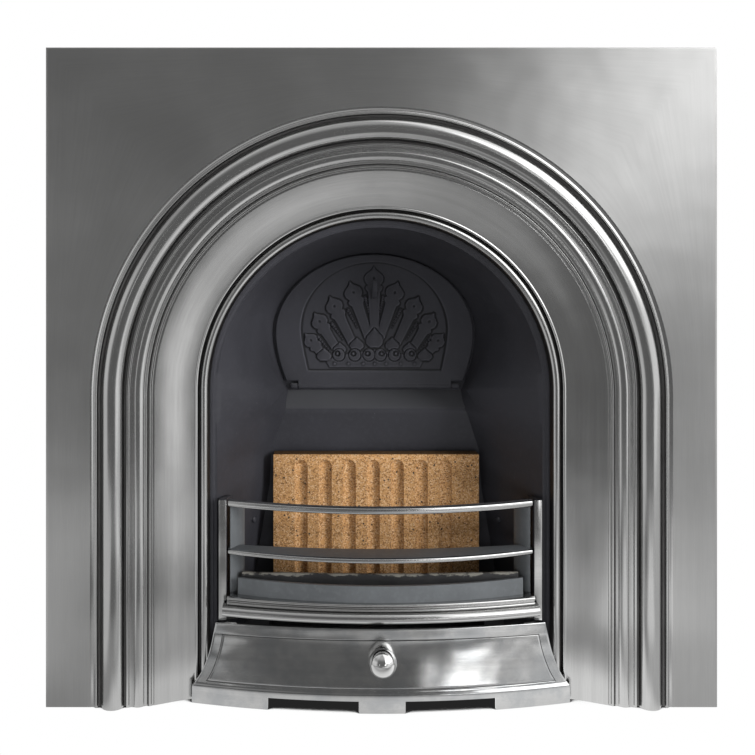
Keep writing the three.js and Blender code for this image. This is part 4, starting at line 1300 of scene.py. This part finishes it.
def build_brick(brick):
    """The fire brick with its round-topped flutes."""
    low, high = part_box("fire_brick")
    plan = [(low.x, low.y), (high.x, low.y), (high.x, high.y), (low.x, high.y)]
    body = piece_at("brick", *ringed(levels_of(plan, (low.z, high.z))))
    bevelled(smooth_finish(body), 1.4)
    half = brick.flute_width / 2
    top = low.z + FLUTE_RISE * MM - half
    outline = [(-half, low.z - 0.01), (half, low.z - 0.01)]
    outline += [(half * math.cos(t), top + half * math.sin(t)) for t in np.linspace(0, math.pi, 17)]
    rings = []
    for inward, shrink in FLUTE_SECTION:
        y = low.y + inward * brick.flute_depth
        rings.append([
            (brick.flute_shift + px * shrink, y, pz if pz < low.z else top + (pz - top) * shrink)
            for px, pz in outline
        ])
    cutter = smooth_finish(piece_at("flute", *ringed(rings)))
    cut_row(body, cutter, brick.flute_count, brick.flute_pitch, "clay")
    return smooth_finish(body, 30)


def build_grate(grate):
    """The bottom grate: slotted bed and raised front rim with a rough upper edge."""
    count, rim_top, rim_foot = 181, 182.5, 117.0
    rng = np.random.default_rng(7)
    rough = np.convolve(rng.normal(0, 1, count), np.ones(3) / 3, "same")
    chips = np.convolve(rng.normal(0, 1, count), np.ones(13) / 13, "same")
    top = rim_top - np.clip(0.35 * rough, -0.4, 0.9) - np.clip(1.6 * chips, 0, 1.8)
    half, front, bow = 204.0, 37.0, 10.0
    rings = []
    for u, z in zip(np.linspace(-1, 1, count), top):
        y = front - bow * (1 - u * u)
        section = ((0, rim_foot), (0, 150), (0, z - 2.2), (1.0, z - 0.6), (3.0, z), (5.6, z - 0.3),
                   (7.6, z - 1.6), (8.0, z - 5), (8.0, 116.6))
        rings.append([(u * half, y + deep, height) for deep, height in section])
    rim = shell("rim", *ringed(rings), 40, "grate")
    plan = [(-199, 43), (-100, 35.5), (0, 33), (100, 35.5), (199, 43), (199, 147), (-199, 147)]
    bed = piece_from("bed", *ringed(levels_of(plan, (116.3, 126.3))))
    bed = bevelled(smooth_finish(bed), 0.9)
    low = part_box("bottom_grate")[0]
    side, near, far = grate.slot_width / 2, FACE_Y + 0.056, FACE_Y + 0.136
    plan = [(-side, near), (side, near), (side, far), (-side, far)]
    slot = piece_at("slot", *ringed(levels_of(plan, (low.z - 0.01, low.z + 0.02))))
    cutter = smooth_finish(slot)
    cut_row(bed, cutter, grate.slot_count, grate.slot_pitch, "grate")
    return joined_pieces("grate", [rim, smooth_finish(bed, 30)])


# ------------------------------------------------------------------ bowed pieces

def bow_wrap_tree():
    """Bows a strip of profile rows across the hearth."""
    shape = ShapeTree("bow_wrap")
    face = shape.size("Face Depth", FACE_Y)
    scale = shape.size("Bow Scale", 1.0)
    across, half = shape.attribute("across"), shape.attribute("half")
    belly = shape.minus(1.0, shape.times(across, across))
    bow = shape.times(shape.times(shape.attribute("bow"), scale), belly)
    depth = shape.minus(shape.plus(face, shape.attribute("depth")), bow)
    moved = shape.moved(shape.point(shape.times(across, half), depth, shape.attribute("height")))
    painted = shape.math("GREATER_THAN", shape.attribute("painted"), 0.5)
    return shape.close(moved, ("Material", None), ("Painted Material", painted))


def bowed_piece(name, faces, attributes, finishes):
    """Bows points that are laid out by attributes, with a polished and a painted finish."""
    start = np.stack([attributes[key] for key in ("across", "depth", "height")], -1)
    piece = piece_at(name, start, faces, attributes)
    run_tree(piece, bow_wrap_tree(), face_depth=FACE_Y, bow_scale=1.0,
             material=FINISHES[finishes[0]], painted_material=FINISHES[finishes[1]])
    return smooth_finish(piece, 38)


def bowed_strip(name, profile, across, painted, paint="grey"):
    """Bows a closed profile of (height, depth, bow, half width)."""
    shape = (len(across), len(profile))

    def row(values):
        return np.broadcast_to(np.asarray(values, float)[None, :], shape).ravel()

    attributes = {"across": np.broadcast_to(across[:, None], shape).ravel()}
    for k, key in enumerate(("height", "depth", "bow", "half")):
        attributes[key] = row(profile[:, k]) * MM
    attributes["painted"] = row(painted)
    return bowed_piece(name, capped(*shape), attributes, ("bar", paint))


def bar_profile(bottom, top, rear_top, deep, rear_bow):
    """A bar with a polished crowned face and painted top, bottom and back."""
    half, front, bow = 224.0, 32.0, 46.0
    crown = rolled([bottom + 0.8, front + 1.1], [top - 0.8, front + 1.1], 1.9, 10)
    corners = [(bottom, front + 2.2, bow, half)]
    corners += [(z, d, bow, half) for z, d in crown]
    corners += [(top, front + 2.2, bow, half), (rear_top, front + deep, rear_bow, half),
                (bottom, front + deep, rear_bow, half)]
    corners = rounded(corners, 0.7, 2, loop=True)
    painted = (corners[:, 1] > front + 1.9).astype(float)
    return corners, painted


def fret_profiles():
    """The painted band, the stepped moulding and the nosing of the lower front."""
    band = [(177, 27.2), (149, 26.0), (149, 33.0), (177, 33.0)]
    band = rounded([(z, d, 38.0, 209.0) for z, d in band], 1.0, 3, loop=True)
    face = [
        (153.6, 18.4), *rolled([152.6, 16.2], [148.6, 16.4], 2.0, 6), (147.3, 18.6), (145.6, 18.9),
        *rolled([144.9, 16.9], [141.6, 16.9], 1.6, 6), (140.6, 19.0), (139, 19.8), (128, 20),
    ]
    steps = [(153.5, 32, 38, 224.0), *((z, d, 31, 224.0) for z, d in face), (128, 36, 38, 224.0)]
    steps = rounded(steps, 0.5, 2, loop=True)
    nose = [(141, 27.5), (141, 18.5), *rolled([140.6, 16.2], [125.4, 16.2], 8.4, 18),
            (125, 18.5), (125, 27.5)]
    nose = rounded([(z, d, 31, 230.0) for z, d in nose], 0.6, 2, loop=True)
    return band, steps, nose


def build_bars():
    """Top and middle bar, painted band and end webs, steps and nosing: one casting."""
    across = np.linspace(-1, 1, 97)
    shells = []
    for name, paint, sizes in (
        ("top_bar", "black", (279.5, 289.5, 289.5, 10, 46)),
        ("middle_bar", "grey", (209.5, 217.4, 220.5, 18, 26)),
    ):
        profile, painted = bar_profile(*sizes)
        shells.append(bowed_strip(name, profile, across, painted, paint))
    band, steps, nose = fret_profiles()
    shells.append(bowed_strip("band", band, across, np.ones(len(band))))
    painted_from = 19.4
    for name, profile in (("steps", steps), ("nose", nose)):
        shells.append(bowed_strip(name, profile, across, profile[:, 1] > painted_from))
    for side in (-1, 1):
        plan = [(222, 36), (216.4, 47), (208, 62), (202, 61), (204.4, 54), (209.2, 45.4),
                (215.4, 38), (221, 34.2)]
        rings = levels_of([(side * x, depth) for x, depth in plan], (130.0, 281.5))
        shells.append(bevelled(shell("web", *ringed(rings), 32, "grey"), 0.8))
    return joined_pieces("bars", shells)


# Height, half width, depth at the ends and depth in the middle of the cover's face.
COVER_FACE = np.array([
    (112, 241.5, 25.6, -0.6), (96, 244.8, 24.2, -1.2), (84, 247, 21.6, -3.1),
    (70, 250.5, 19.2, -6.3), (56, 255.5, 17.8, -10.1), (42, 262, 17, -14.2),
    (28, 271.5, 16.5, -18.4), (25.6, 274, 14.8, -19.8), (23, 274.5, 14.5, -20.2),
    (0, 275, 14.5, -20.2),
], float)
COVER_TOP, COVER_HALF, COVER_WALL = 112.0, 275.0, 6.0
# The engraved line: its side as a share of the half width, its top and foot, and its section.
PANEL_SIDE, PANEL_TOP, PANEL_FOOT = 0.943, 96.0, 32.6
PANEL_HALF = 258.0
LINE_WIDTH, LINE_DEPTH = 0.95, 1.1
LINE_ACROSS = np.array([-1.0, -0.55, -0.2, 0.0, 0.2, 0.55, 1.0])
LINE_DEEP = np.array([0.0, 0.12, 0.85, 1.0, 0.85, 0.12, 0.0])
SLOT_INNER, SLOT_OUTER, SLOT_TOP = 33.0, 163.0, 17.0


def smooth_column(height, column):
    """One column of the cover's face as a smooth curve above the plinth."""
    upper = COVER_FACE[:7][::-1]
    below = COVER_FACE[6:][::-1]
    knots, values = upper[:, 0], upper[:, column]
    slope = np.gradient(values, knots)
    out = np.interp(height, below[:, 0], below[:, column])
    for i in range(len(knots) - 1):
        a, b = knots[i], knots[i + 1]
        inside = (height >= a) & (height <= b)
        t = (height[inside] - a) / (b - a)
        out[inside] = (
            (1 + 2 * t) * (1 - t) ** 2 * values[i] + t * (1 - t) ** 2 * (b - a) * slope[i]
            + t * t * (3 - 2 * t) * values[i + 1] + t * t * (t - 1) * (b - a) * slope[i + 1]
        )
    return out


def panel_line(side, height):
    """How deep the engraved line round the cover's panel is cut, from 0 to 1."""
    def groove(distance):
        return np.interp(distance / LINE_WIDTH, LINE_ACROSS, LINE_DEEP, 0, 0)

    level = np.maximum(groove(height - PANEL_TOP), groove(height - PANEL_FOOT))
    level = level * (side <= PANEL_SIDE + 0.0005)
    upright = groove((side - PANEL_SIDE) * PANEL_HALF)
    beside = (height <= PANEL_TOP + 0.6) & (height >= PANEL_FOOT - 0.6)
    return np.maximum(level, upright * beside * (side <= PANEL_SIDE + 0.002))


def build_cover():
    """The ashpan cover: bowed, flared, with an engraved panel line and two draught slots."""
    rows = np.unique(np.round(np.concatenate([
        np.linspace(0, SLOT_TOP, 5), [20, 22.2, 23.4, 24.4, 25.6, 26.8, 28.2, 30],
        PANEL_FOOT + LINE_ACROSS * LINE_WIDTH, np.linspace(36, 100, 26),
        PANEL_TOP + LINE_ACROSS * LINE_WIDTH, [103, 106, 108, 110, 111.2, 111.8, COVER_TOP],
    ]), 3))
    across = np.concatenate([
        np.linspace(0, 0.94, 60), [SLOT_INNER / COVER_HALF, SLOT_OUTER / COVER_HALF],
        PANEL_SIDE + LINE_ACROSS * LINE_WIDTH / PANEL_HALF, [0.985, 0.993, 0.998, 1.0],
    ])
    across = np.unique(np.round(np.concatenate([-across, across]), 6))
    grid_u, grid_z = np.meshgrid(across, rows, indexing="ij")
    half, end, middle = (
        np.broadcast_to(smooth_column(rows, k)[None, :], grid_u.shape) for k in (1, 2, 3)
    )
    line = panel_line(np.abs(grid_u), grid_z)
    easing = 0.5 * np.clip(1 - (COVER_TOP - grid_z) / 1.2, 0, 1) ** 2
    easing += 0.5 * np.clip((np.abs(grid_u) - 0.994) / 0.006, 0, 1) ** 2
    stations, corners = grid_u.shape
    count = stations * corners
    # The engraved line's recess value gives it painted shade in the cover's finish.
    layers = {
        "across": grid_u, "height": grid_z * MM, "depth": (end + LINE_DEPTH * line + easing) * MM,
        "bow": (end - middle) * MM, "half": half * MM, "painted": np.zeros(count),
        "recess": np.clip(line * 1.3, 0, 1),
    }
    behind = {
        "depth": (end + COVER_WALL) * MM, "painted": np.ones(count), "recess": np.zeros(count),
    }
    attributes = {
        key: np.concatenate([front.ravel(), behind.get(key, front).ravel()])
        for key, front in layers.items()
    }

    centre = (np.abs(grid_u[:-1, :-1]) + np.abs(grid_u[1:, :-1])) / 2 * COVER_HALF
    slot = (centre > SLOT_INNER) & (centre < SLOT_OUTER) & (rows[None, :-1] < SLOT_TOP - 0.01)
    index = np.arange(count).reshape(stations, corners)
    quads = np.stack([index[:-1, :-1], index[1:, :-1], index[1:, 1:], index[:-1, 1:]], -1)[~slot]
    faces = quads.tolist() + (quads[:, ::-1] + count).tolist()
    edges = {}
    for a, b, c, d in quads.tolist():
        for pair in ((a, b), (b, c), (c, d), (d, a)):
            key = tuple(sorted(pair))
            edges[key] = None if key in edges else pair
    faces += [[b, a, a + count, b + count] for a, b in filter(None, edges.values())]
    used = np.unique(faces)
    place = np.zeros(2 * count, int)
    place[used] = np.arange(len(used))
    attributes = {key: values[used] for key, values in attributes.items()}
    return bowed_piece("cover", place[np.array(faces)], attributes, ("cover", "raw"))


def build_knob():
    """The turned knob: a collar on the cover, and a ball that grows out of it."""
    radius, neck, seat, height = 20.0, 8.0, -6.0, 74.0
    collar = [(0.0, 0.0), (9.0, 0.0), (9.4, 0.4), (9.4, 1.2), (9.0, 1.7), (neck + 0.6, 2.5)]
    turn = np.linspace(math.asin(neck / radius), math.pi, 30)[:-1]
    ball = [(radius * math.sin(t), radius - radius * math.cos(t)) for t in turn]
    ball = [(out, ahead) for out, ahead in ball if ahead > 2.6] + [(0.05, 2 * radius)]
    return shell("knob", *lathe(collar + ball, 64, (0, seat, height)), 30, "knob")


# ------------------------------------------------------------------ fixings

def fixing_tree():
    """Sets one fixing on every point."""
    shape = ShapeTree("set_fixings")
    fixing = shape.size("Fixing", None, "NodeSocketObject")
    shown = shape.add("GeometryNodeObjectInfo", {"Object": fixing}).outputs["Geometry"]
    return shape.close(shape.copies(shape.entry.outputs[0], shown), ("Material", None))


def build_bolts(places, seat, tip, name):
    """Flange bolts set from behind, from the depth of their seat to that of their tip."""
    flats = 7.4
    corners = flats / math.cos(math.pi / 6)
    turns = np.linspace(0, 2 * math.pi, 6, endpoint=False)
    rings = [
        [(scale * corners * math.cos(t), back, scale * corners * math.sin(t)) for t in turns]
        for scale, back in ((0.95, seat + 1.2), (0.95, seat + 4.6), (0.84, seat + 5.4))
    ]
    points, faces = ringed(rings)
    head = smooth_finish(piece_at("head", points * MM, faces), 25)
    points, faces = lathe([
        (0, -seat - 1.8), (7.6, -seat - 1.6), (8.4, -seat - 0.9), (8.4, -seat), (4.2, -seat),
        (3.9, -seat + 0.5), (3.9, -tip - 1), (3.2, -tip), (0, -tip),
    ], 24, (0, 0, 0))
    collar = smooth_finish(piece_at("collar", points * MM, faces), 30)
    bolt = joined_pieces("bolt", [head, collar])
    bolts = piece_from(name, [(x, 0, z) for x, z in places], [])
    run_tree(bolts, fixing_tree(), fixing=bolt, material=FINISHES["zinc"])
    bpy.data.objects.remove(bolt)
    return smooth_finish(bolts, 28)


# ------------------------------------------------------------------ operators

class FireplaceOperator:
    """What the operators share."""

    bl_options = {"REGISTER"}


class FIREPLACE_OT_face(FireplaceOperator, Operator):
    """Builds the polished face casting"""

    bl_idname = "fireplace.face"
    bl_label = "Face"

    def execute(self, context):
        face = build_face(context.scene.fireplace_face)
        hold(face, "fireplace", "polished_iron", "fascia_plate")
        return {"FINISHED"}


class FIREPLACE_OT_firebox(FireplaceOperator, Operator):
    """Builds the black liner casting"""

    bl_idname = "fireplace.firebox"
    bl_label = "Firebox"

    def execute(self, context):
        firebox = build_firebox(context.scene.fireplace_face)
        hold(firebox, "fireplace", "black_iron", "firebox_casting")
        return {"FINISHED"}


class FIREPLACE_OT_damper(FireplaceOperator, Operator):
    """Builds the damper flap with its fan, beads and handle"""

    bl_idname = "fireplace.damper"
    bl_label = "Damper"

    def execute(self, context):
        fan = context.scene.fireplace_fan
        hold(build_flap(fan), "damper", "black_iron", "damper_flap")
        hold(build_beads(fan), "damper", "black_iron")
        handle = softened("damper_handle", "handle", 1.1, "black")
        hold(handle, "damper", "black_iron", "damper_handle")
        return {"FINISHED"}


class FIREPLACE_OT_brick(FireplaceOperator, Operator):
    """Builds the fluted fire brick"""

    bl_idname = "fireplace.brick"
    bl_label = "Fire Brick"

    def execute(self, context):
        brick = build_brick(context.scene.fireplace_brick)
        hold(brick, "fireplace", "fireclay", "fire_brick")
        return {"FINISHED"}


class FIREPLACE_OT_bars(FireplaceOperator, Operator):
    """Builds the front bars and their posts"""

    bl_idname = "fireplace.bars"
    bl_label = "Front Bars"

    def execute(self, context):
        hold(build_bars(), "front_bars", "polished_iron", "front_bars")
        for side in ("left", "right"):
            post = softened(f"bar_post_{side}", f"post_{side}", 0.9, "bar")
            # Painted shade: the posts' sides take the black paint, so they read dark and do not
            # mirror the fire brick.
            post.data.materials.append(FINISHES["black"])
            for face in post.data.polygons:
                face.material_index = int(abs(face.normal.x) > 0.8)
            hold(post, "fireplace", "polished_iron", f"bar_post_{side}")
        return {"FINISHED"}


class FIREPLACE_OT_grate(FireplaceOperator, Operator):
    """Builds the bottom grate"""

    bl_idname = "fireplace.grate"
    bl_label = "Bottom Grate"

    def execute(self, context):
        grate = build_grate(context.scene.fireplace_grate)
        hold(grate, "bottom_grate", "graphite_iron", "bottom_grate")
        return {"FINISHED"}


class FIREPLACE_OT_cover(FireplaceOperator, Operator):
    """Builds the ashpan cover and its knob"""

    bl_idname = "fireplace.cover"
    bl_label = "Ashpan Cover"

    def execute(self, context):
        hold(build_cover(), "ashpan_cover", "polished_iron", "ashpan_cover")
        hold(build_knob(), "ashpan_cover", "polished_iron", "cover_knob")
        return {"FINISHED"}


class FIREPLACE_OT_pan(FireplaceOperator, Operator):
    """Builds the ash pan and its pull"""

    bl_idname = "fireplace.pan"
    bl_label = "Ash Pan"

    def execute(self, context):
        for node, width in (("ash_pan", 0.6), ("ash_pan_handle", 0.7)):
            part = softened(node, f"{node}_sheet", width, "sheet")
            hold(part, "ash_pan", "sheet_steel", node)
        return {"FINISHED"}


class FIREPLACE_OT_fixings(FireplaceOperator, Operator):
    """Builds the bolts, cleats and lugs, and finishes the small solids that stay"""

    bl_idname = "fireplace.fixings"
    bl_label = "Fixings"

    def execute(self, context):
        liner = build_bolts(bolt_places(), seat=51.6, tip=33.0, name="liner_bolts")
        hold(liner, "fireplace", "zinc_steel", *(f"liner_bolt_{i}" for i in range(1, 7)))
        cleats = build_bolts(CLEAT_BOLTS, seat=18.6, tip=5.0, name="cleat_bolts")
        hold(cleats, "fireplace", "zinc_steel", "cleat_bolt_left", "cleat_bolt_right")
        for side in ("left", "right"):
            cleat = softened(f"wall_cleat_{side}", f"cleat_{side}", 0.6, "zinc")
            hold(cleat, "fireplace", "zinc_steel", f"wall_cleat_{side}")
            lug = softened(f"damper_lug_{side}", f"lug_{side}", 0.5, "black")
            hold(lug, "fireplace", "black_iron", f"damper_lug_{side}")
        kept = {
            "zinc": ("cheek_nut", "bar_post_screw", "cover_knob_screw"),
            "black": ("cheek_bolt", "damper_pin", "damper_lug_screw"),
            "sheet": ("ash_pan_rivet",),
        }
        for name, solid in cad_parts.items():
            for finish, starts in kept.items():
                if name.startswith(starts):
                    clad(solid, finish)
        return {"FINISHED"}


class FIREPLACE_OT_stage(FireplaceOperator, Operator):
    """Sets the floor, the lamps, the world and the camera"""

    bl_idname = "fireplace.stage"
    bl_label = "Stage"

    def execute(self, context):
        scene = context.scene
        build_floor(scene.fireplace_finish)
        build_world(scene)
        build_lamps(scene)
        build_camera(scene)
        scene.view_settings.view_transform = "Standard"
        return {"FINISHED"}


# ------------------------------------------------------------------ stage

# Patches of the floor that only mirrors see: a change of tone, the left and right edge from the
# middle, the near and far edge ahead of the plate's face, and a softness, in metres.
FLOOR_PATCHES = (
    (-0.22, (-0.56, -0.06, 0.36, 0.80), 0.10),
    (-0.24, (0.06, 0.30, 0.14, 0.31), 0.10),
    (0.16, (-0.30, -0.02, 0.14, 0.33), 0.10),
    (0.48, (-0.40, 0.40, -0.20, 0.10), 0.06),
    (0.40, (0.16, 0.60, 0.28, 0.85), 0.10),
)
# Name, turn and rise in degrees, distance from the aim, height of the aim, size, share of power.
LAMPS = (
    ("key_lamp", 56, 13, 2.6, 0.37, (0.75, 1.5), 0.82),
    ("floor_card", -8, -16, 1.15, 0.52, (1.3, 0.25), 0.06),
)
# The photograph's frame, its focal length and the point that the camera looks straight at.
PICTURE, FOCAL, SIGHT = 755, 905, (330, 283)


def build_floor(colours):
    """A pale sheet, white to the camera but for the shadow in and under the fireplace."""
    side, back, front = 5.0, 6.0, FACE_Y - 1.3
    floor = piece_at(
        "floor", [(-side, front, 0), (side, front, 0), (side, back, 0), (-side, back, 0)],
        [(0, 1, 2, 3)],
    )
    finish = Finish("pale_floor")
    rays = finish.add("ShaderNodeLightPath").outputs
    open_sky = finish.add(
        "ShaderNodeAmbientOcclusion", {"Distance": 0.25}, samples=40
    ).outputs["AO"]
    x, y, _ = finish.parts(finish.place)
    ahead = finish.minus(FACE_Y, y)
    tone = finish.plus(
        finish.spread(x, -0.1, 0.2, 0.40, 0.64), finish.spread(x, -0.48, -0.62, 0.0, 0.32)
    )
    for level, edges, soft in FLOOR_PATCHES:
        softs = (soft / 2, soft / 2, soft / 2, soft)
        tone = finish.math("MULTIPLY_ADD", finish.rectangle(x, ahead, edges, softs), level, tone)
    seen, mirrored = (
        finish.add("ShaderNodeEmission", {"Color": (1, 1, 1, 1), "Strength": value}).outputs[0]
        for value in (finish.spread(open_sky, 0.31, 0.42, 0.018, 1.0), tone)
    )
    look = finish.add("ShaderNodeBsdfDiffuse", {"Color": rgba(colours.floor, 0.9)}).outputs[0]
    for ray, shader in (("Is Glossy Ray", mirrored), ("Is Camera Ray", seen)):
        look = finish.add("ShaderNodeMixShader", {0: rays[ray], 1: look, 2: shader}).outputs[0]
    finish.tree.links.new(look, finish.tree.nodes["Material Output"].inputs["Surface"])
    floor.data.materials.append(finish.material)


def build_world(scene):
    """White backdrop behind. In front a dim room with a tall soft window on the right."""
    world = bpy.data.worlds.new("studio")
    scene.world = world
    world.use_nodes = True
    recipe = Recipe(world.node_tree)
    way = recipe.add("ShaderNodeTexCoord").outputs["Generated"]
    x, y, z = recipe.parts(way)
    turn = recipe.math("DEGREES", recipe.math("ARCTAN2", x, recipe.times(y, -1.0)))
    tilt = recipe.math("DEGREES", recipe.math("ARCSINE", z))

    def wall(turned, tilted):
        """Light that grows with the turn, and with the tilt."""
        return recipe.times(recipe.spread(turn, *turned), recipe.spread(tilt, *tilted))

    def pane(edges, softs):
        """1 on one rectangle of the room, in degrees, and 0 off it."""
        return recipe.rectangle(turn, tilt, edges, softs)

    right = wall((15, 34, 0.0, 0.9), (-4, 9, 0.2, 1.0))
    right = recipe.math("MAXIMUM", right, recipe.spread(turn, 24, 34, 0.0, 0.95))
    left = wall((-38, -60, 0.0, 0.6), (36, 12, 0.3, 1.0))
    room = recipe.plus(recipe.plus(right, left), 0.165)
    room = recipe.plus(room, recipe.spread(tilt, 26, 60, 0.0, 0.35))
    window = pane((25.25, 131, 15, 51), (4.75, 11, 4, 5))
    corner = pane((15.5, 24.5, 4.0, 10.5), (3.0,) * 4)
    doorway = pane((-30, -25, 3, 11), (1.6,) * 4)
    for light, strength in ((window, 2.3), (corner, 3.8), (doorway, 0.9)):
        room = recipe.math("MULTIPLY_ADD", light, strength, room)
    shaded = recipe.math("MULTIPLY_ADD", pane((30, 42, 2.5, 11), (1.8,) * 4), -0.62, 1.0)
    room = recipe.times(room, shaded)
    room = recipe.mix(recipe.spread(y, -0.10, 0.25), room, (1, 1, 1, 1))
    rays = recipe.add("ShaderNodeLightPath").outputs
    shine = recipe.mix(rays["Is Glossy Ray"], (0.27, 0.27, 0.275, 1), room)
    shown = recipe.math("MAXIMUM", rays["Is Camera Ray"], rays["Is Transmission Ray"])
    colour = recipe.mix(shown, shine, (1, 1, 1, 1))
    background = world.node_tree.nodes["Background"]
    world.node_tree.links.new(colour, background.inputs["Color"])
    background.inputs["Strength"].default_value = 1.0


def build_lamps(scene):
    """A tall soft lamp from the right, and a weak card by the floor that lights the hood."""
    for name, degrees, rise, reach, height, size, share in LAMPS:
        light = bpy.data.lights.new(name, "AREA")
        light.shape = "RECTANGLE"
        light.size, light.size_y = size
        light.energy = scene.fireplace_stage.lamp_strength * share
        lamp = placed(name, light)
        turn, lift = math.radians(degrees), math.radians(rise)
        aim = Vector((0, FACE_Y, height))
        place = aim + reach * Vector((
            math.cos(lift) * math.sin(turn), -math.cos(lift) * math.cos(turn), math.sin(lift)
        ))
        facing = (aim - place).to_track_quat("-Z", "Y").to_matrix().to_4x4()
        lamp.matrix_world = Matrix.Translation(place) @ facing
        lamp.visible_glossy = False
        lamp.visible_camera = False


def build_camera(scene):
    """A level camera with the photograph's frame."""
    stage = scene.fireplace_stage
    data = bpy.data.cameras.new("camera")
    data.sensor_width = 36.0
    data.lens = data.sensor_width * FOCAL / PICTURE
    data.shift_x = (PICTURE / 2 - SIGHT[0]) / PICTURE
    data.shift_y = (SIGHT[1] - PICTURE / 2) / PICTURE
    data.clip_end = 60
    camera = placed("camera", data)
    camera.location = (stage.camera_side, FACE_Y - stage.camera_distance, stage.camera_height)
    camera.rotation_euler = (math.pi / 2, 0, 0)
    scene.camera = camera


# ------------------------------------------------------------------ panel and registration

class FIREPLACE_PT_build(Panel):
    """Lists the pieces of the fireplace in the sidebar"""

    bl_idname = "FIREPLACE_PT_build"
    bl_label = "Arched Fireplace"
    bl_space_type = "VIEW_3D"
    bl_region_type = "UI"
    bl_category = "Fireplace"

    def draw(self, context):
        layout = self.layout
        for group in SETTINGS:
            box = layout.box()
            sizes = getattr(context.scene, group)
            for key in sizes.__annotations__:
                box.prop(sizes, key)
        for operator in OPERATORS:
            layout.operator(operator.bl_idname)


SETTINGS = {
    "fireplace_face": FaceSizes,
    "fireplace_fan": FanSizes,
    "fireplace_brick": BrickSizes,
    "fireplace_grate": GrateSizes,
    "fireplace_finish": FinishColours,
    "fireplace_stage": StageSizes,
}
OPERATORS = (
    FIREPLACE_OT_stage, FIREPLACE_OT_face, FIREPLACE_OT_firebox, FIREPLACE_OT_damper,
    FIREPLACE_OT_brick, FIREPLACE_OT_bars, FIREPLACE_OT_grate, FIREPLACE_OT_cover,
    FIREPLACE_OT_pan, FIREPLACE_OT_fixings,
)


def register():
    """Registers the settings, the operators and the panel."""
    for group in SETTINGS.values():
        bpy.utils.register_class(group)
    for name, group in SETTINGS.items():
        setattr(bpy.types.Scene, name, PointerProperty(type=group))
    for operator in OPERATORS:
        bpy.utils.register_class(operator)
    bpy.utils.register_class(FIREPLACE_PT_build)


def unregister():
    """Takes back what register made."""
    bpy.utils.unregister_class(FIREPLACE_PT_build)
    for operator in reversed(OPERATORS):
        bpy.utils.unregister_class(operator)
    for name in SETTINGS:
        delattr(bpy.types.Scene, name)
    for group in SETTINGS.values():
        bpy.utils.unregister_class(group)


def main():
    """Builds the fireplace and its stage."""
    register()
    make_finishes(bpy.context.scene.fireplace_finish)
    for operator in OPERATORS:
        group, name = operator.bl_idname.split(".")
        getattr(getattr(bpy.ops, group), name)()


if __name__ == "__main__":
    main()
